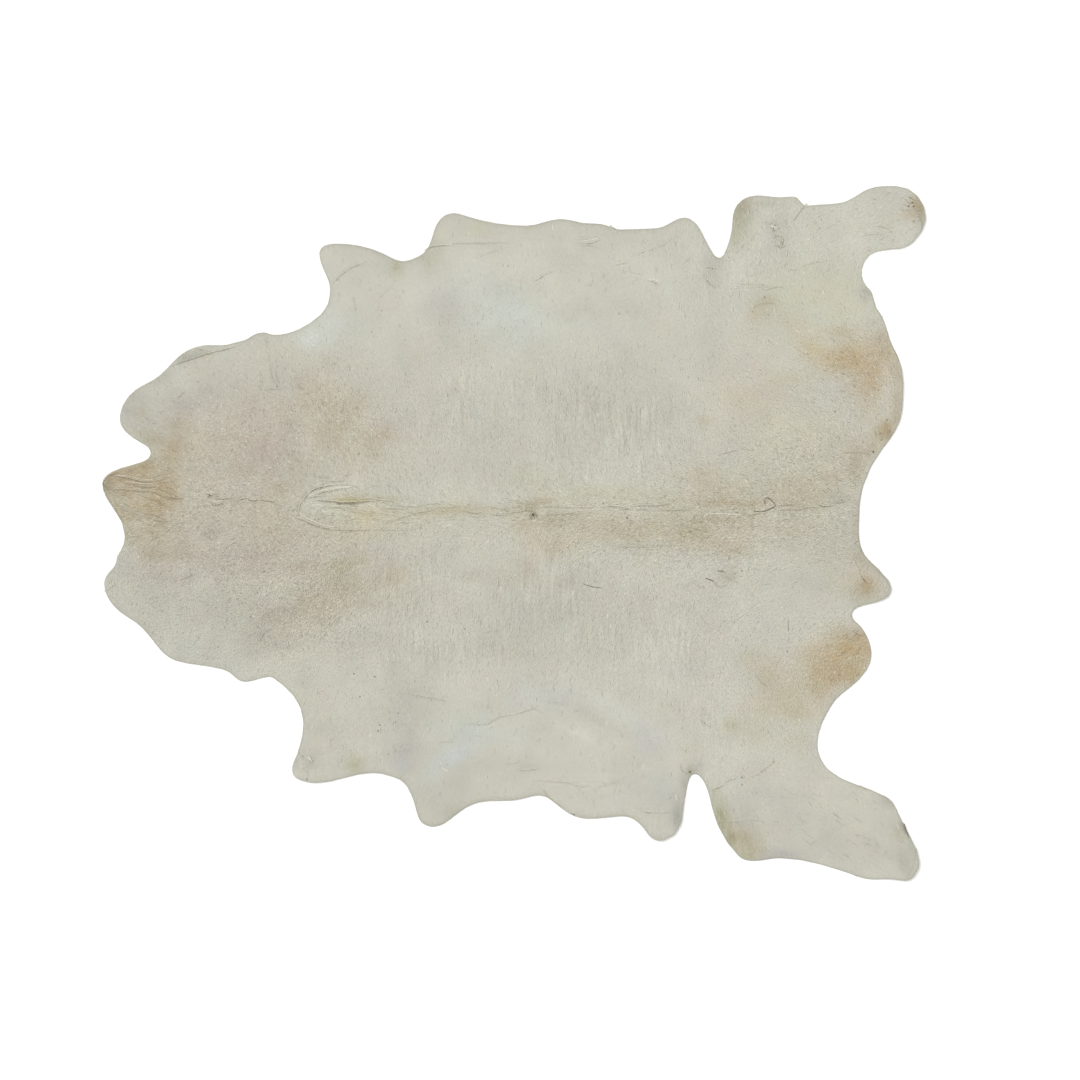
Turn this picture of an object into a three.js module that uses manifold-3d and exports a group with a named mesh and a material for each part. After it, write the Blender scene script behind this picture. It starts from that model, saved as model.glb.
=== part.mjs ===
// Cowhide rug: one whole tanned hide with its hair on, laid flat with the hair side up.
// Millimetres, +Z up. +X runs along the spine from tail to neck, and +Y to the animal's left.
// The origin lies under the middle of the hide, on the surface that it rests on.

import * as THREE from 'three';
import { mergeVertices } from 'three/addons/utils/BufferGeometryUtils.js';
import Module from 'manifold-3d';

const wasm = await Module();
wasm.setup();

// Driving dimensions
const SKIN = 2.2; // thickness of the tanned leather
const COAT = 2.8; // height of the short hair that lies on it
const RIM_STEPS = 4; // straight steps between two stations of the rim
const ALONG_STEPS = 42; // cells of the hide's surface from tail to neck
const ACROSS_STEPS = 38; // cells from the right foreleg's edge to the left one's
const SPINE_CROWDING = 1.5; // above 1 the cells crowd towards the spine, where the relief is finest
const MARGIN = 40; // how far the surface runs past the rim before it is trimmed
const HAIR_COLOUR = 0xc4c1b4;

// The trimmed rim, anticlockwise from the tail. Each station is a place on the rim, measured
// along the spine from the tail tip and across from the spine to the animal's left, with the
// heading of the rim there in degrees. A corner also has the heading on which the rim leaves it.
const RIM = {
  tail: [
    { at: 'tail tip', along: 0, across: 76, heading: -90 },
    { at: 'bay right of the tail', along: 61, across: -66, heading: -95 },
    { at: 'nick start', along: 47, across: -108, heading: -130 },
    { at: 'nick', along: 36, across: -127, heading: -98 },
  ],
  rightRump: [
    { at: 'rump corner', along: 5, across: -192, heading: -90 },
    { at: 'rump side', along: 69, across: -287, heading: -33 },
    { at: 'low rump side', along: 143, across: -356, heading: -54 },
    { at: 'rump bend', along: 199, across: -403, heading: -18 },
    { at: 'thigh', along: 323, across: -427, heading: -18 },
    { at: 'thigh point', along: 384, across: -461, heading: 0 },
    { at: 'thigh corner', along: 457, across: -446, heading: -2, leaving: -33 },
  ],
  rightShank: [
    { at: 'shank bay', along: 543, across: -567, heading: -90 },
    { at: 'shank back', along: 527, across: -651, heading: -110 },
    { at: 'heel', along: 513, across: -693, heading: -90 },
    { at: 'toe', along: 579, across: -733, heading: 0 },
    { at: 'flank bay', along: 732, across: -706, heading: 0 },
    { at: 'flank corner', along: 822, across: -740, heading: -58 },
    { at: 'flank side', along: 855, across: -829, heading: -62 },
    { at: 'flank lobe', along: 894, across: -849, heading: 0 },
    { at: 'end of the lobe', along: 986, across: -798, heading: 31 },
    { at: 'flank run', along: 1107, across: -781, heading: 3 },
  ],
  rightBelly: [
    { at: 'belly bay', along: 1179, across: -768, heading: 0 },
    { at: 'belly slope', along: 1257, across: -814, heading: -31 },
    { at: 'belly lobe', along: 1315, across: -830, heading: 0 },
    { at: 'belly run', along: 1402, across: -824, heading: 0 },
    { at: 'elbow slope', along: 1473, across: -865, heading: -48 },
    { at: 'elbow lobe', along: 1515, across: -887, heading: 0 },
    { at: 'elbow side', along: 1580, across: -748, heading: 74 },
    { at: 'armpit', along: 1602, across: -706, heading: 0 },
    { at: 'back of the foreleg', along: 1635, across: -753, heading: -72 },
  ],
  rightForeleg: [
    { at: 'heel bend', along: 1719, across: -932, heading: -42 },
    { at: 'heel', along: 1763, across: -944, heading: 0 },
    { at: 'start of the shin', along: 1828, across: -936, heading: 0 },
    { at: 'shin', along: 2042, across: -985, heading: -17 },
    { at: 'ankle', along: 2117, across: -991, heading: 0 },
    { at: 'hoof', along: 2174, across: -997, heading: 0 },
    { at: 'hoof tip', along: 2209, across: -950, heading: 90 },
    { at: 'front of the hoof', along: 2150, across: -811, heading: 117 },
    { at: 'knee', along: 2114, across: -766, heading: 148 },
    { at: 'knee bay', along: 1963, across: -693, heading: 133 },
  ],
  rightCheek: [
    { at: 'neck bay', along: 1933, across: -628, heading: 90 },
    { at: 'start of the cheek', along: 1969, across: -527, heading: 57 },
    { at: 'cheek side', along: 2031, across: -467, heading: 42 },
    { at: 'cheek', along: 2078, across: -381, heading: 90 },
    { at: 'end of the cheek', along: 2051, across: -309, heading: 127 },
    { at: 'neck nick', along: 2025, across: -277, heading: 90 },
    { at: 'neck flap', along: 2055, across: -254, heading: 17 },
  ],
  neck: [
    { at: 'neck point', along: 2134, across: -208, heading: 90 },
    { at: 'neck slope', along: 2060, across: -115, heading: 123 },
    { at: 'neck edge', along: 2045, across: -38, heading: 90 },
    { at: 'left neck slope', along: 2106, across: 165, heading: 51 },
    { at: 'start of the cheek', along: 2162, across: 275, heading: 86 },
    { at: 'cheek', along: 2165, across: 348, heading: 90 },
    { at: 'throat', along: 2117, across: 506, heading: 111 },
    { at: 'end of the throat', along: 2067, across: 606, heading: 124 },
  ],
  leftForeleg: [
    { at: 'neck bay', along: 2052, across: 648, heading: 90 },
    { at: 'shin bend', along: 2114, across: 704, heading: 6 },
    { at: 'hoof', along: 2226, across: 791, heading: 90 },
    { at: 'hoof top', along: 2144, across: 881, heading: 180 },
    { at: 'ankle top', along: 2069, across: 873, heading: -159 },
    { at: 'ankle slope', along: 2020, across: 845, heading: -151 },
    { at: 'ankle', along: 1982, across: 834, heading: -174 },
    { at: 'tear', along: 1900, across: 829, heading: -177, leaving: 138 },
    { at: 'end of the tear', along: 1871, across: 854, heading: -177 },
    { at: 'knee', along: 1769, across: 856, heading: 180 },
    { at: 'top of the back', along: 1703, across: 807, heading: -102 },
    { at: 'back of the foreleg', along: 1682, across: 703, heading: -114 },
  ],
  leftBelly: [
    { at: 'armpit', along: 1668, across: 686, heading: 180 },
    { at: 'armpit side', along: 1649, across: 702, heading: 124 },
    { at: 'elbow slope', along: 1615, across: 765, heading: 119 },
    { at: 'elbow lobe', along: 1572, across: 796, heading: 180 },
    { at: 'belly run', along: 1499, across: 767, heading: -178 },
    { at: 'end of the run', along: 1404, across: 765, heading: 178 },
    { at: 'belly step', along: 1345, across: 779, heading: 176 },
    { at: 'belly swell', along: 1237, across: 792, heading: 180 },
    { at: 'belly bay', along: 1148, across: 774, heading: 180 },
  ],
  leftFlank: [
    { at: 'start of the lobe', along: 983, across: 800, heading: 162 },
    { at: 'flank lobe', along: 948, across: 808, heading: 180 },
    { at: 'flank side', along: 893, across: 751, heading: -103 },
    { at: 'flank corner', along: 855, across: 691, heading: -158 },
    { at: 'flank bay', along: 810, across: 678, heading: 174 },
    { at: 'shank slope', along: 762, across: 698, heading: 154 },
    { at: 'shank top', along: 632, across: 726, heading: 180 },
    { at: 'shank tip', along: 585, across: 699, heading: -90 },
    { at: 'shank bay', along: 613, across: 597, heading: -90 },
  ],
  leftRump: [
    { at: 'thigh bend', along: 528, across: 496, heading: -155 },
    { at: 'thigh dip', along: 465, across: 481, heading: 180 },
    { at: 'thigh point', along: 436, across: 487, heading: -177 },
    { at: 'thigh', along: 341, across: 453, heading: -168 },
    { at: 'tucked rim', along: 273, across: 452, heading: -176 },
    { at: 'high rump side', along: 191, across: 405, heading: -134 },
    { at: 'rump side', along: 117, across: 348, heading: -152 },
    { at: 'rump corner', along: 49, across: 259, heading: -90 },
    { at: 'end of the rump', along: 102, across: 186, heading: -32 },
    { at: 'bay left of the tail', along: 130, across: 159, heading: -90 },
    { at: 'tail root', along: 92, across: 134, heading: -157 },
    { at: 'tail side', along: 35, across: 113, heading: -155 },
  ],
};

// Soft rises where the dry hide stands off the floor, leather and coat together. Each is an oval
// with a reach and a spread to each side, turned by some degrees from the line of the spine.
const SWELLS = [
  { at: 'tail tip', along: 20, across: 76, reach: 95, spread: 70, turn: 0, rise: 6 },
  { at: 'right rump corner', along: 20, across: -205, reach: 110, spread: 85, turn: -40, rise: 5 },
  { at: 'left rump tuck', along: 262, across: 412, reach: 150, spread: 48, turn: 17, rise: 6 },
  { at: 'left thigh', along: 640, across: 560, reach: 190, spread: 150, turn: 0, rise: 4 },
  { at: 'left flank', along: 1060, across: 545, reach: 360, spread: 190, turn: 0, rise: 8 },
  { at: 'left flank lobe', along: 960, across: 790, reach: 190, spread: 90, turn: -8, rise: 6 },
  { at: 'left elbow', along: 1575, across: 770, reach: 120, spread: 85, turn: 20, rise: 6 },
  { at: 'left foreleg', along: 1810, across: 755, reach: 150, spread: 130, turn: 60, rise: 5 },
  { at: 'left hoof', along: 2200, across: 800, reach: 120, spread: 100, turn: 0, rise: 7 },
  { at: 'left cheek', along: 2150, across: 330, reach: 95, spread: 170, turn: 0, rise: 4 },
  { at: 'neck point', along: 2120, across: -210, reach: 100, spread: 75, turn: 0, rise: 6 },
  { at: 'right hoof', along: 2190, across: -955, reach: 130, spread: 120, turn: 0, rise: 8 },
  { at: 'right elbow', along: 1520, across: -850, reach: 110, spread: 120, turn: 0, rise: 7 },
  { at: 'right belly edge', along: 1310, across: -745, reach: 230, spread: 75, turn: -4, rise: 6 },
  { at: 'right belly fold', along: 1120, across: -560, reach: 300, spread: 90, turn: -9, rise: 5 },
  { at: 'right flank', along: 950, across: -650, reach: 250, spread: 120, turn: 28, rise: 7 },
  { at: 'right heel', along: 545, across: -700, reach: 110, spread: 95, turn: 0, rise: 5 },
];

// The line of the backbone, which stands up as a low ridge on the hair side.
const SPINE = [
  { at: 'tail root', along: 150, across: 45 },
  { at: 'rump', along: 480, across: 26 },
  { at: 'loin', along: 1160, across: -6 },
  { at: 'back', along: 1500, across: 15 },
  { at: 'neck', along: 2045, across: -4 },
];
const SPINE_RIDGE = { halfWidth: 55, rise: 1.8 };

// The oval parting of the hair over the hips, a raised ring round a shallow dish.
const HIP_RING = { along: 667, across: 14, reach: 135, spread: 62, band: 0.45, rise: 1.4, dish: 1.2 };

// A soft bump's share of its height: whole in the middle and nothing from one half size outwards.
const bump = (distance) => Math.max(0, 1 - distance ** 2) ** 2;

// How far a place lies from the middle of a turned oval, counted in the oval's own half sizes.
function ovalDistance({ along, across, reach, spread, turn = 0 }, x, y) {
  const angle = THREE.MathUtils.degToRad(turn);
  const dx = x - along;
  const dy = y - across;
  const u = dx * Math.cos(angle) + dy * Math.sin(angle);
  const v = dy * Math.cos(angle) - dx * Math.sin(angle);
  return Math.hypot(u / reach, v / spread);
}

// The height of the leather's underside over the floor: zero wherever the hide lies flat.
function liftAt(x, y) {
  return SWELLS.reduce((lift, swell) => lift + swell.rise * bump(ovalDistance(swell, x, y)), 0);
}

// How far a place lies from the line of the backbone.
function fromSpine(x, y) {
  const place = new THREE.Vector3(x, y, 0);
  const nearest = new THREE.Vector3();
  const distances = SPINE.slice(1).map((end, i) => {
    const start = SPINE[i];
    const bone = new THREE.Line3(
      new THREE.Vector3(start.along, start.across, 0),
      new THREE.Vector3(end.along, end.across, 0),
    );
    return bone.closestPointToPoint(place, true, nearest).distanceTo(place);
  });
  return Math.min(...distances);
}

// The thickness of leather and coat together.
function thicknessAt(x, y) {
  const ridge = SPINE_RIDGE.rise * bump(fromSpine(x, y) / SPINE_RIDGE.halfWidth);
  const oval = ovalDistance(HIP_RING, x, y);
  const ring = HIP_RING.rise * bump((oval - 1) / HIP_RING.band);
  const dish = HIP_RING.dish * bump(oval);
  return SKIN + COAT + ridge + ring - dish;
}

// A curved stretch of rim between two stations, as near a round arc as their headings allow.
function addStretch(shape, from, to) {
  const leaving = THREE.MathUtils.degToRad(from.leaving ?? from.heading);
  const arriving = THREE.MathUtils.degToRad(to.heading);
  const turn = Math.atan2(Math.sin(arriving - leaving), Math.cos(arriving - leaving));
  const span = Math.hypot(to.along - from.along, to.across - from.across);
  const handle = span / (3 * Math.cos(turn / 4) ** 2);
  shape.bezierCurveTo(
    from.along + handle * Math.cos(leaving),
    from.across + handle * Math.sin(leaving),
    to.along - handle * Math.cos(arriving),
    to.across - handle * Math.sin(arriving),
    to.along,
    to.across,
  );
}

function rimShape() {
  const stations = Object.values(RIM).flat();
  const shape = new THREE.Shape();
  shape.moveTo(stations[0].along, stations[0].across);
  stations.forEach((station, i) => addStretch(shape, station, stations[(i + 1) % stations.length]));
  return shape;
}

// Only positions are kept, so that the corners that faces share become one.
function sharedCorners(geometry) {
  geometry.deleteAttribute('normal');
  geometry.deleteAttribute('uv');
  return mergeVertices(geometry);
}

function solidOf(geometry) {
  return new wasm.Manifold(
    new wasm.Mesh({
      numProp: 3,
      vertProperties: new Float32Array(geometry.attributes.position.array),
      triVerts: new Uint32Array(geometry.index.array),
    }),
  );
}

function geometryOf(solid) {
  const mesh = solid.getMesh();
  const geometry = new THREE.BufferGeometry();
  geometry.setAttribute('position', new THREE.BufferAttribute(mesh.vertProperties, 3));
  geometry.setIndex(new THREE.BufferAttribute(mesh.triVerts, 1));
  return geometry;
}

// An untrimmed sheet that covers the rim's box, with the swells, the ridge and the hip ring in it.
function untrimmedSheet(box) {
  const length = box.max.x - box.min.x + 2 * MARGIN;
  const reach = Math.max(box.max.y, -box.min.y) + MARGIN;
  const sheet = sharedCorners(new THREE.BoxGeometry(length, 2, 2, ALONG_STEPS, ACROSS_STEPS, 1));
  sheet.translate(length / 2 + box.min.x - MARGIN, 0, 0);
  const corners = sheet.attributes.position;
  for (let i = 0; i < corners.count; i += 1) {
    const x = corners.getX(i);
    const side = corners.getY(i);
    const y = Math.sign(side) * Math.abs(side) ** SPINE_CROWDING * reach;
    const onHairSide = corners.getZ(i) > 0;
    corners.setXYZ(i, x, y, liftAt(x, y) + (onHairSide ? thicknessAt(x, y) : 0));
  }
  return sheet;
}

// The sheet trimmed to the rim and moved so that the middle of its box is over the origin.
function hideGeometry() {
  const rim = new THREE.ExtrudeGeometry(rimShape(), {
    depth: 2 * MARGIN,
    bevelEnabled: false,
    curveSegments: RIM_STEPS,
  });
  rim.translate(0, 0, -MARGIN);
  rim.computeBoundingBox();
  const sheet = untrimmedSheet(rim.boundingBox);
  const hide = geometryOf(solidOf(sheet).intersect(solidOf(sharedCorners(rim))));
  const middle = rim.boundingBox.getCenter(new THREE.Vector3());
  hide.translate(-middle.x, -middle.y, 0);
  hide.computeVertexNormals();
  return hide;
}

const hide = new THREE.Mesh(
  hideGeometry(),
  new THREE.MeshStandardMaterial({ color: HAIR_COLOUR, roughness: 0.85, metalness: 0 }),
);
hide.name = 'hide';

const cowhideRug = new THREE.Group();
cowhideRug.add(hide);

export default cowhideRug;
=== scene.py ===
import math

import bpy
import numpy as np
from mathutils.bvhtree import BVHTree
from mathutils.geometry import delaunay_2d_cdt
from mathutils.kdtree import KDTree
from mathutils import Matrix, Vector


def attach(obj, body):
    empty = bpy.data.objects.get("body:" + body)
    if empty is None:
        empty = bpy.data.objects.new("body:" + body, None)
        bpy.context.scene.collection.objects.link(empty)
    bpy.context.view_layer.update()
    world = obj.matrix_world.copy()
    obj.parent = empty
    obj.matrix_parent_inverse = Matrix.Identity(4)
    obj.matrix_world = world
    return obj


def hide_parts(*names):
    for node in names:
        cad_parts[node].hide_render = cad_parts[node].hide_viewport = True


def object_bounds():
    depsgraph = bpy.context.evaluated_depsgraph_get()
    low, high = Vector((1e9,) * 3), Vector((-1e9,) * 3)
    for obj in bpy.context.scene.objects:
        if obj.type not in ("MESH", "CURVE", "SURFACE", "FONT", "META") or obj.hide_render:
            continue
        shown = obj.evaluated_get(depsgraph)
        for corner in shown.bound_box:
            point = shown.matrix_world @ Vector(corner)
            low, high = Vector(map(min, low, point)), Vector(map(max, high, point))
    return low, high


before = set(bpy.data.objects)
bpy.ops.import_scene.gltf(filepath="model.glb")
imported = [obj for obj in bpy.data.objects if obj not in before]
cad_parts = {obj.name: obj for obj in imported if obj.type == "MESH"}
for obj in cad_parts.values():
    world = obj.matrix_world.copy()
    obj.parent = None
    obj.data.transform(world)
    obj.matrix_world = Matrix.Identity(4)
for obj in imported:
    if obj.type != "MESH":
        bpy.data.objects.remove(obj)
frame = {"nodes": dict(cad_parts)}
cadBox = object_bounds()
# sizes below are millimetres in the hide's frame: x along the spine to the neck, y to the animal's left
mm = 0.001
rng = np.random.default_rng(41)
print("frame loaded:", ", ".join(frame["nodes"]))


def linear(hexColour):
    channels = np.array([int(hexColour[k:k + 2], 16) for k in (1, 3, 5)]) / 255
    return np.where(channels <= 0.04045, channels / 12.92, ((channels + 0.055) / 1.055) ** 2.4)


def mixed(colour, tone, share):
    return colour * (1 - share) + linear(tone) * share


def addNode(tree, kind, inputs=None, **settings):
    node = tree.nodes.new(kind)
    for name, value in settings.items():
        setattr(node, name, value)
    for name, value in (inputs or {}).items():
        if isinstance(value, bpy.types.NodeSocket):
            tree.links.new(value, node.inputs[name])
        else:
            node.inputs[name].default_value = value
    return node


def newMaterial(name):
    material = bpy.data.materials.new(name)
    material.use_nodes = True
    material.node_tree.nodes.clear()
    return material, material.node_tree


def tableOf(columns, rows):
    return [dict(zip(columns, row)) for row in rows]


def toward(heading):
    return np.stack([np.cos(heading), np.sin(heading)], axis=1)


def leftOf(ahead):
    return np.stack([-ahead[:, 1], ahead[:, 0]], axis=1)


# The trimmed edge and the folds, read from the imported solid
form = {
    "margin": 24.0,      # the fields below reach this far past the hide
    "foldCell": 10.0,
    "foldBlur": 26.0,    # takes the facets out of the folds
    "steep": 0.5,        # faces that look up or down by less than this are the cut walls
    "rimCell": 4.0,
    "rimStep": 4.0,
    "rimFineStep": 1.0,
    "rimSoftness": 5.0,  # the knife rounds each corner of the edge this far
    "coat": 2.8,         # depth of the lying hair over the leather
    "rimInset": 1.3,     # the hair ends a little short of the solid's edge
    "noiseCells": 2,     # cells to the size of a cloud, and the blur that rounds them, in cells
    "noiseBlur": 0.8,
}
# where the knife strayed from that edge: reach, and how far it cut inward
trims = tableOf(("x", "y", "reach", "inward"), (
    (-524, 609, 40, 5.2), (-505, 668, 40, 2.6), (-578, 571, 40, 3), (-727, 531, 22, 5.2),
    (-637, 547, 40, 2), (-862, 509, 30, 2), (-970, 428, 40, 3), (-1053, 293, 32, -4), (-1010, 198, 40, 3),
    (-1086, -80, 22, 4.6), (-1018, -247, 35, 2.4), (-767, -382, 28, 3.4), (-592, -655, 20, -3),
    (-330, -652, 30, -3.4), (-276, -733, 30, 2.4), (-214, -782, 35, -3.6), (75, -711, 28, 2.4),
    (313, -768, 30, 2.6), (375, -819, 28, -5.6), (453, -779, 28, -3), (507, -657, 25, -3.6),
    (548, -768, 55, -3.8), (961, -927, 45, -3), (1082, -919, 22, 4.6), (1072, -822, 50, 3.4),
    (1020, -725, 25, -3), (845, -630, 35, 1.8), (880, -441, 35, 2), (956, -347, 40, -2.2),
    (993, -112, 28, 3), (939, 104, 40, 2), (1023, 517, 35, 4.4), (985, 612, 20, 4.6), (961, 652, 15, -4),
    (966, 755, 28, 2.8), (1055, 776, 30, -5.4), (1101, 814, 20, 2), (777, 900, 22, 3.6),
    (710, 914, 35, 3.6), (583, 819, 35, 2.6), (278, 828, 25, 2), (183, 844, 28, 3.6),
))


def gridOf(cell):
    low, high = (np.array(corner[:2]) / mm for corner in cadBox)
    low, high = low - form["margin"], high + form["margin"]
    return np.arange(low[0], high[0] + cell, cell), np.arange(low[1], high[1] + cell, cell)


def readField(field, x, y):
    # values between the cells of a field; places past its border read the border
    xs, ys, values = field
    across = np.clip((x - xs[0]) / (xs[1] - xs[0]), 0, len(xs) - 1.001)
    along = np.clip((y - ys[0]) / (ys[1] - ys[0]), 0, len(ys) - 1.001)
    i, j = across.astype(int), along.astype(int)
    u, v = across - i, along - j
    near = values[j, i] * (1 - u) + values[j, i + 1] * u
    far = values[j + 1, i] * (1 - u) + values[j + 1, i + 1] * u
    return near * (1 - v) + far * v


def blurred(values, cells):
    reach = int(math.ceil(3 * cells))  # three spreads hold nearly all of the bell
    kernel = np.exp(-0.5 * (np.arange(-reach, reach + 1) / cells) ** 2)
    kernel /= kernel.sum()
    for axis in (0, 1):
        values = np.apply_along_axis(np.convolve, axis, values, kernel, mode="same")
    return values


def noiseField(size, seed):
    xs, ys = gridOf(size / form["noiseCells"])
    values = blurred(np.random.default_rng(seed).standard_normal((len(ys), len(xs))), form["noiseBlur"])
    return xs, ys, values / values.std()


def smoothstep(low, high, values):
    share = np.clip((values - low) / (high - low), 0, 1)
    return share * share * (3 - 2 * share)


def solidOf(node):
    mesh = node.data
    mesh.calc_loop_triangles()
    points = np.empty(len(mesh.vertices) * 3)
    mesh.vertices.foreach_get("co", points)
    corners = np.empty(len(mesh.loop_triangles) * 3, int)
    mesh.loop_triangles.foreach_get("vertices", corners)
    shared, index = np.unique(np.round(points.reshape(-1, 3) / mm, 2), axis=0, return_inverse=True)
    return shared, index.ravel()[corners].reshape(-1, 3)


def rimOf(points, triangles):
    # the edges where the underside meets the cut walls, walked once round
    corners = points[triangles]
    facing = np.cross(corners[:, 1] - corners[:, 0], corners[:, 2] - corners[:, 0])
    upward = facing[:, 2] / np.linalg.norm(facing, axis=1)
    turned = {(b, a) for t in triangles[abs(upward) <= form["steep"]] for a, b in zip(t, np.roll(t, -1))}
    under = triangles[upward < -form["steep"]]
    following = {a: b for t in under for a, b in zip(t, np.roll(t, -1)) if (a, b) in turned}
    walk = [next(iter(following))]
    while following[walk[-1]] != walk[0]:
        walk.append(following[walk[-1]])
    return points[walk[::-1]][:, :2]


def lengthAlong(line):
    return np.concatenate([[0], np.cumsum(np.hypot(*np.diff(line, axis=0).T))])


def pointsAt(places, along, line):
    return np.stack([np.interp(places, along, line[:, k]) for k in (0, 1)], axis=1)


def evenLoop(loop, step):
    closed = np.vstack([loop, loop[:1]])
    along = lengthAlong(closed)
    places = np.linspace(0, along[-1], int(round(along[-1] / step)), endpoint=False)
    return pointsAt(places, along, closed)


def softLoop(loop, softness, step):
    reach = int(3 * softness / step)
    weights = {k: math.exp(-0.5 * (k * step / softness) ** 2) for k in range(-reach, reach + 1)}
    return sum(w * np.roll(loop, k, axis=0) for k, w in weights.items()) / sum(weights.values())


def inwardOf(loop):
    ahead = np.roll(loop, -1, axis=0) - np.roll(loop, 1, axis=0)
    return leftOf(ahead) / np.hypot(*ahead.T)[:, None]


def trimmed(loop):
    cut = np.full(len(loop), form["rimInset"])
    for row in trims:
        away = np.hypot(loop[:, 0] - row["x"], loop[:, 1] - row["y"])
        cut += row["inward"] * np.exp(-(away / row["reach"]) ** 2)
    return loop + inwardOf(loop) * cut[:, None]


def rimFieldOf(rim):
    # distance to the trimmed edge, positive on the hide
    xs, ys = gridOf(form["rimCell"])
    tree = KDTree(len(rim))
    for k, (x, y) in enumerate(rim):
        tree.insert((x, y, 0), k)
    tree.balance()
    values = np.empty((len(ys), len(xs)))
    ahead = np.roll(rim, -1, axis=0)
    for j, y in enumerate(ys):
        crossing = (rim[:, 1] > y) != (ahead[:, 1] > y)
        a, b = rim[crossing], ahead[crossing]
        hits = np.sort(a[:, 0] + (y - a[:, 1]) / (b[:, 1] - a[:, 1]) * (b[:, 0] - a[:, 0]))
        side = np.where(np.searchsorted(hits, xs) % 2 == 1, 1.0, -1.0)
        values[j] = side * np.array([tree.find((x, y, 0))[2] for x in xs])
    return xs, ys, values


def foldFieldsOf(points, triangles):
    # heights of the solid's underside and top, blurred over the hide alone
    xs, ys = gridOf(form["foldCell"])
    tree = BVHTree.FromPolygons(points.tolist(), triangles.tolist())
    far = 200.0  # the rays start well clear of the solid
    under, top, hit = (np.zeros((len(ys), len(xs))) for _ in range(3))
    for j, y in enumerate(ys):
        for i, x in enumerate(xs):
            above = tree.ray_cast((x, y, far), (0, 0, -1))[0]
            below = tree.ray_cast((x, y, -far), (0, 0, 1))[0]
            if above and below:
                under[j, i], top[j, i], hit[j, i] = below.z, above.z, 1
    cells = form["foldBlur"] / form["foldCell"]
    weight = np.maximum(blurred(hit, cells), 1e-6)  # never quite none
    return [(xs, ys, blurred(heights, cells) / weight) for heights in (under, top)]


points, triangles = solidOf(frame["nodes"]["hide"])
fineRim = evenLoop(rimOf(points, triangles), form["rimFineStep"])
fineRim = trimmed(softLoop(fineRim, form["rimSoftness"], form["rimFineStep"]))
rimField = rimFieldOf(fineRim)
underField, topField = foldFieldsOf(points, triangles)
print("edge read:", len(fineRim), "mm round")
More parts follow.
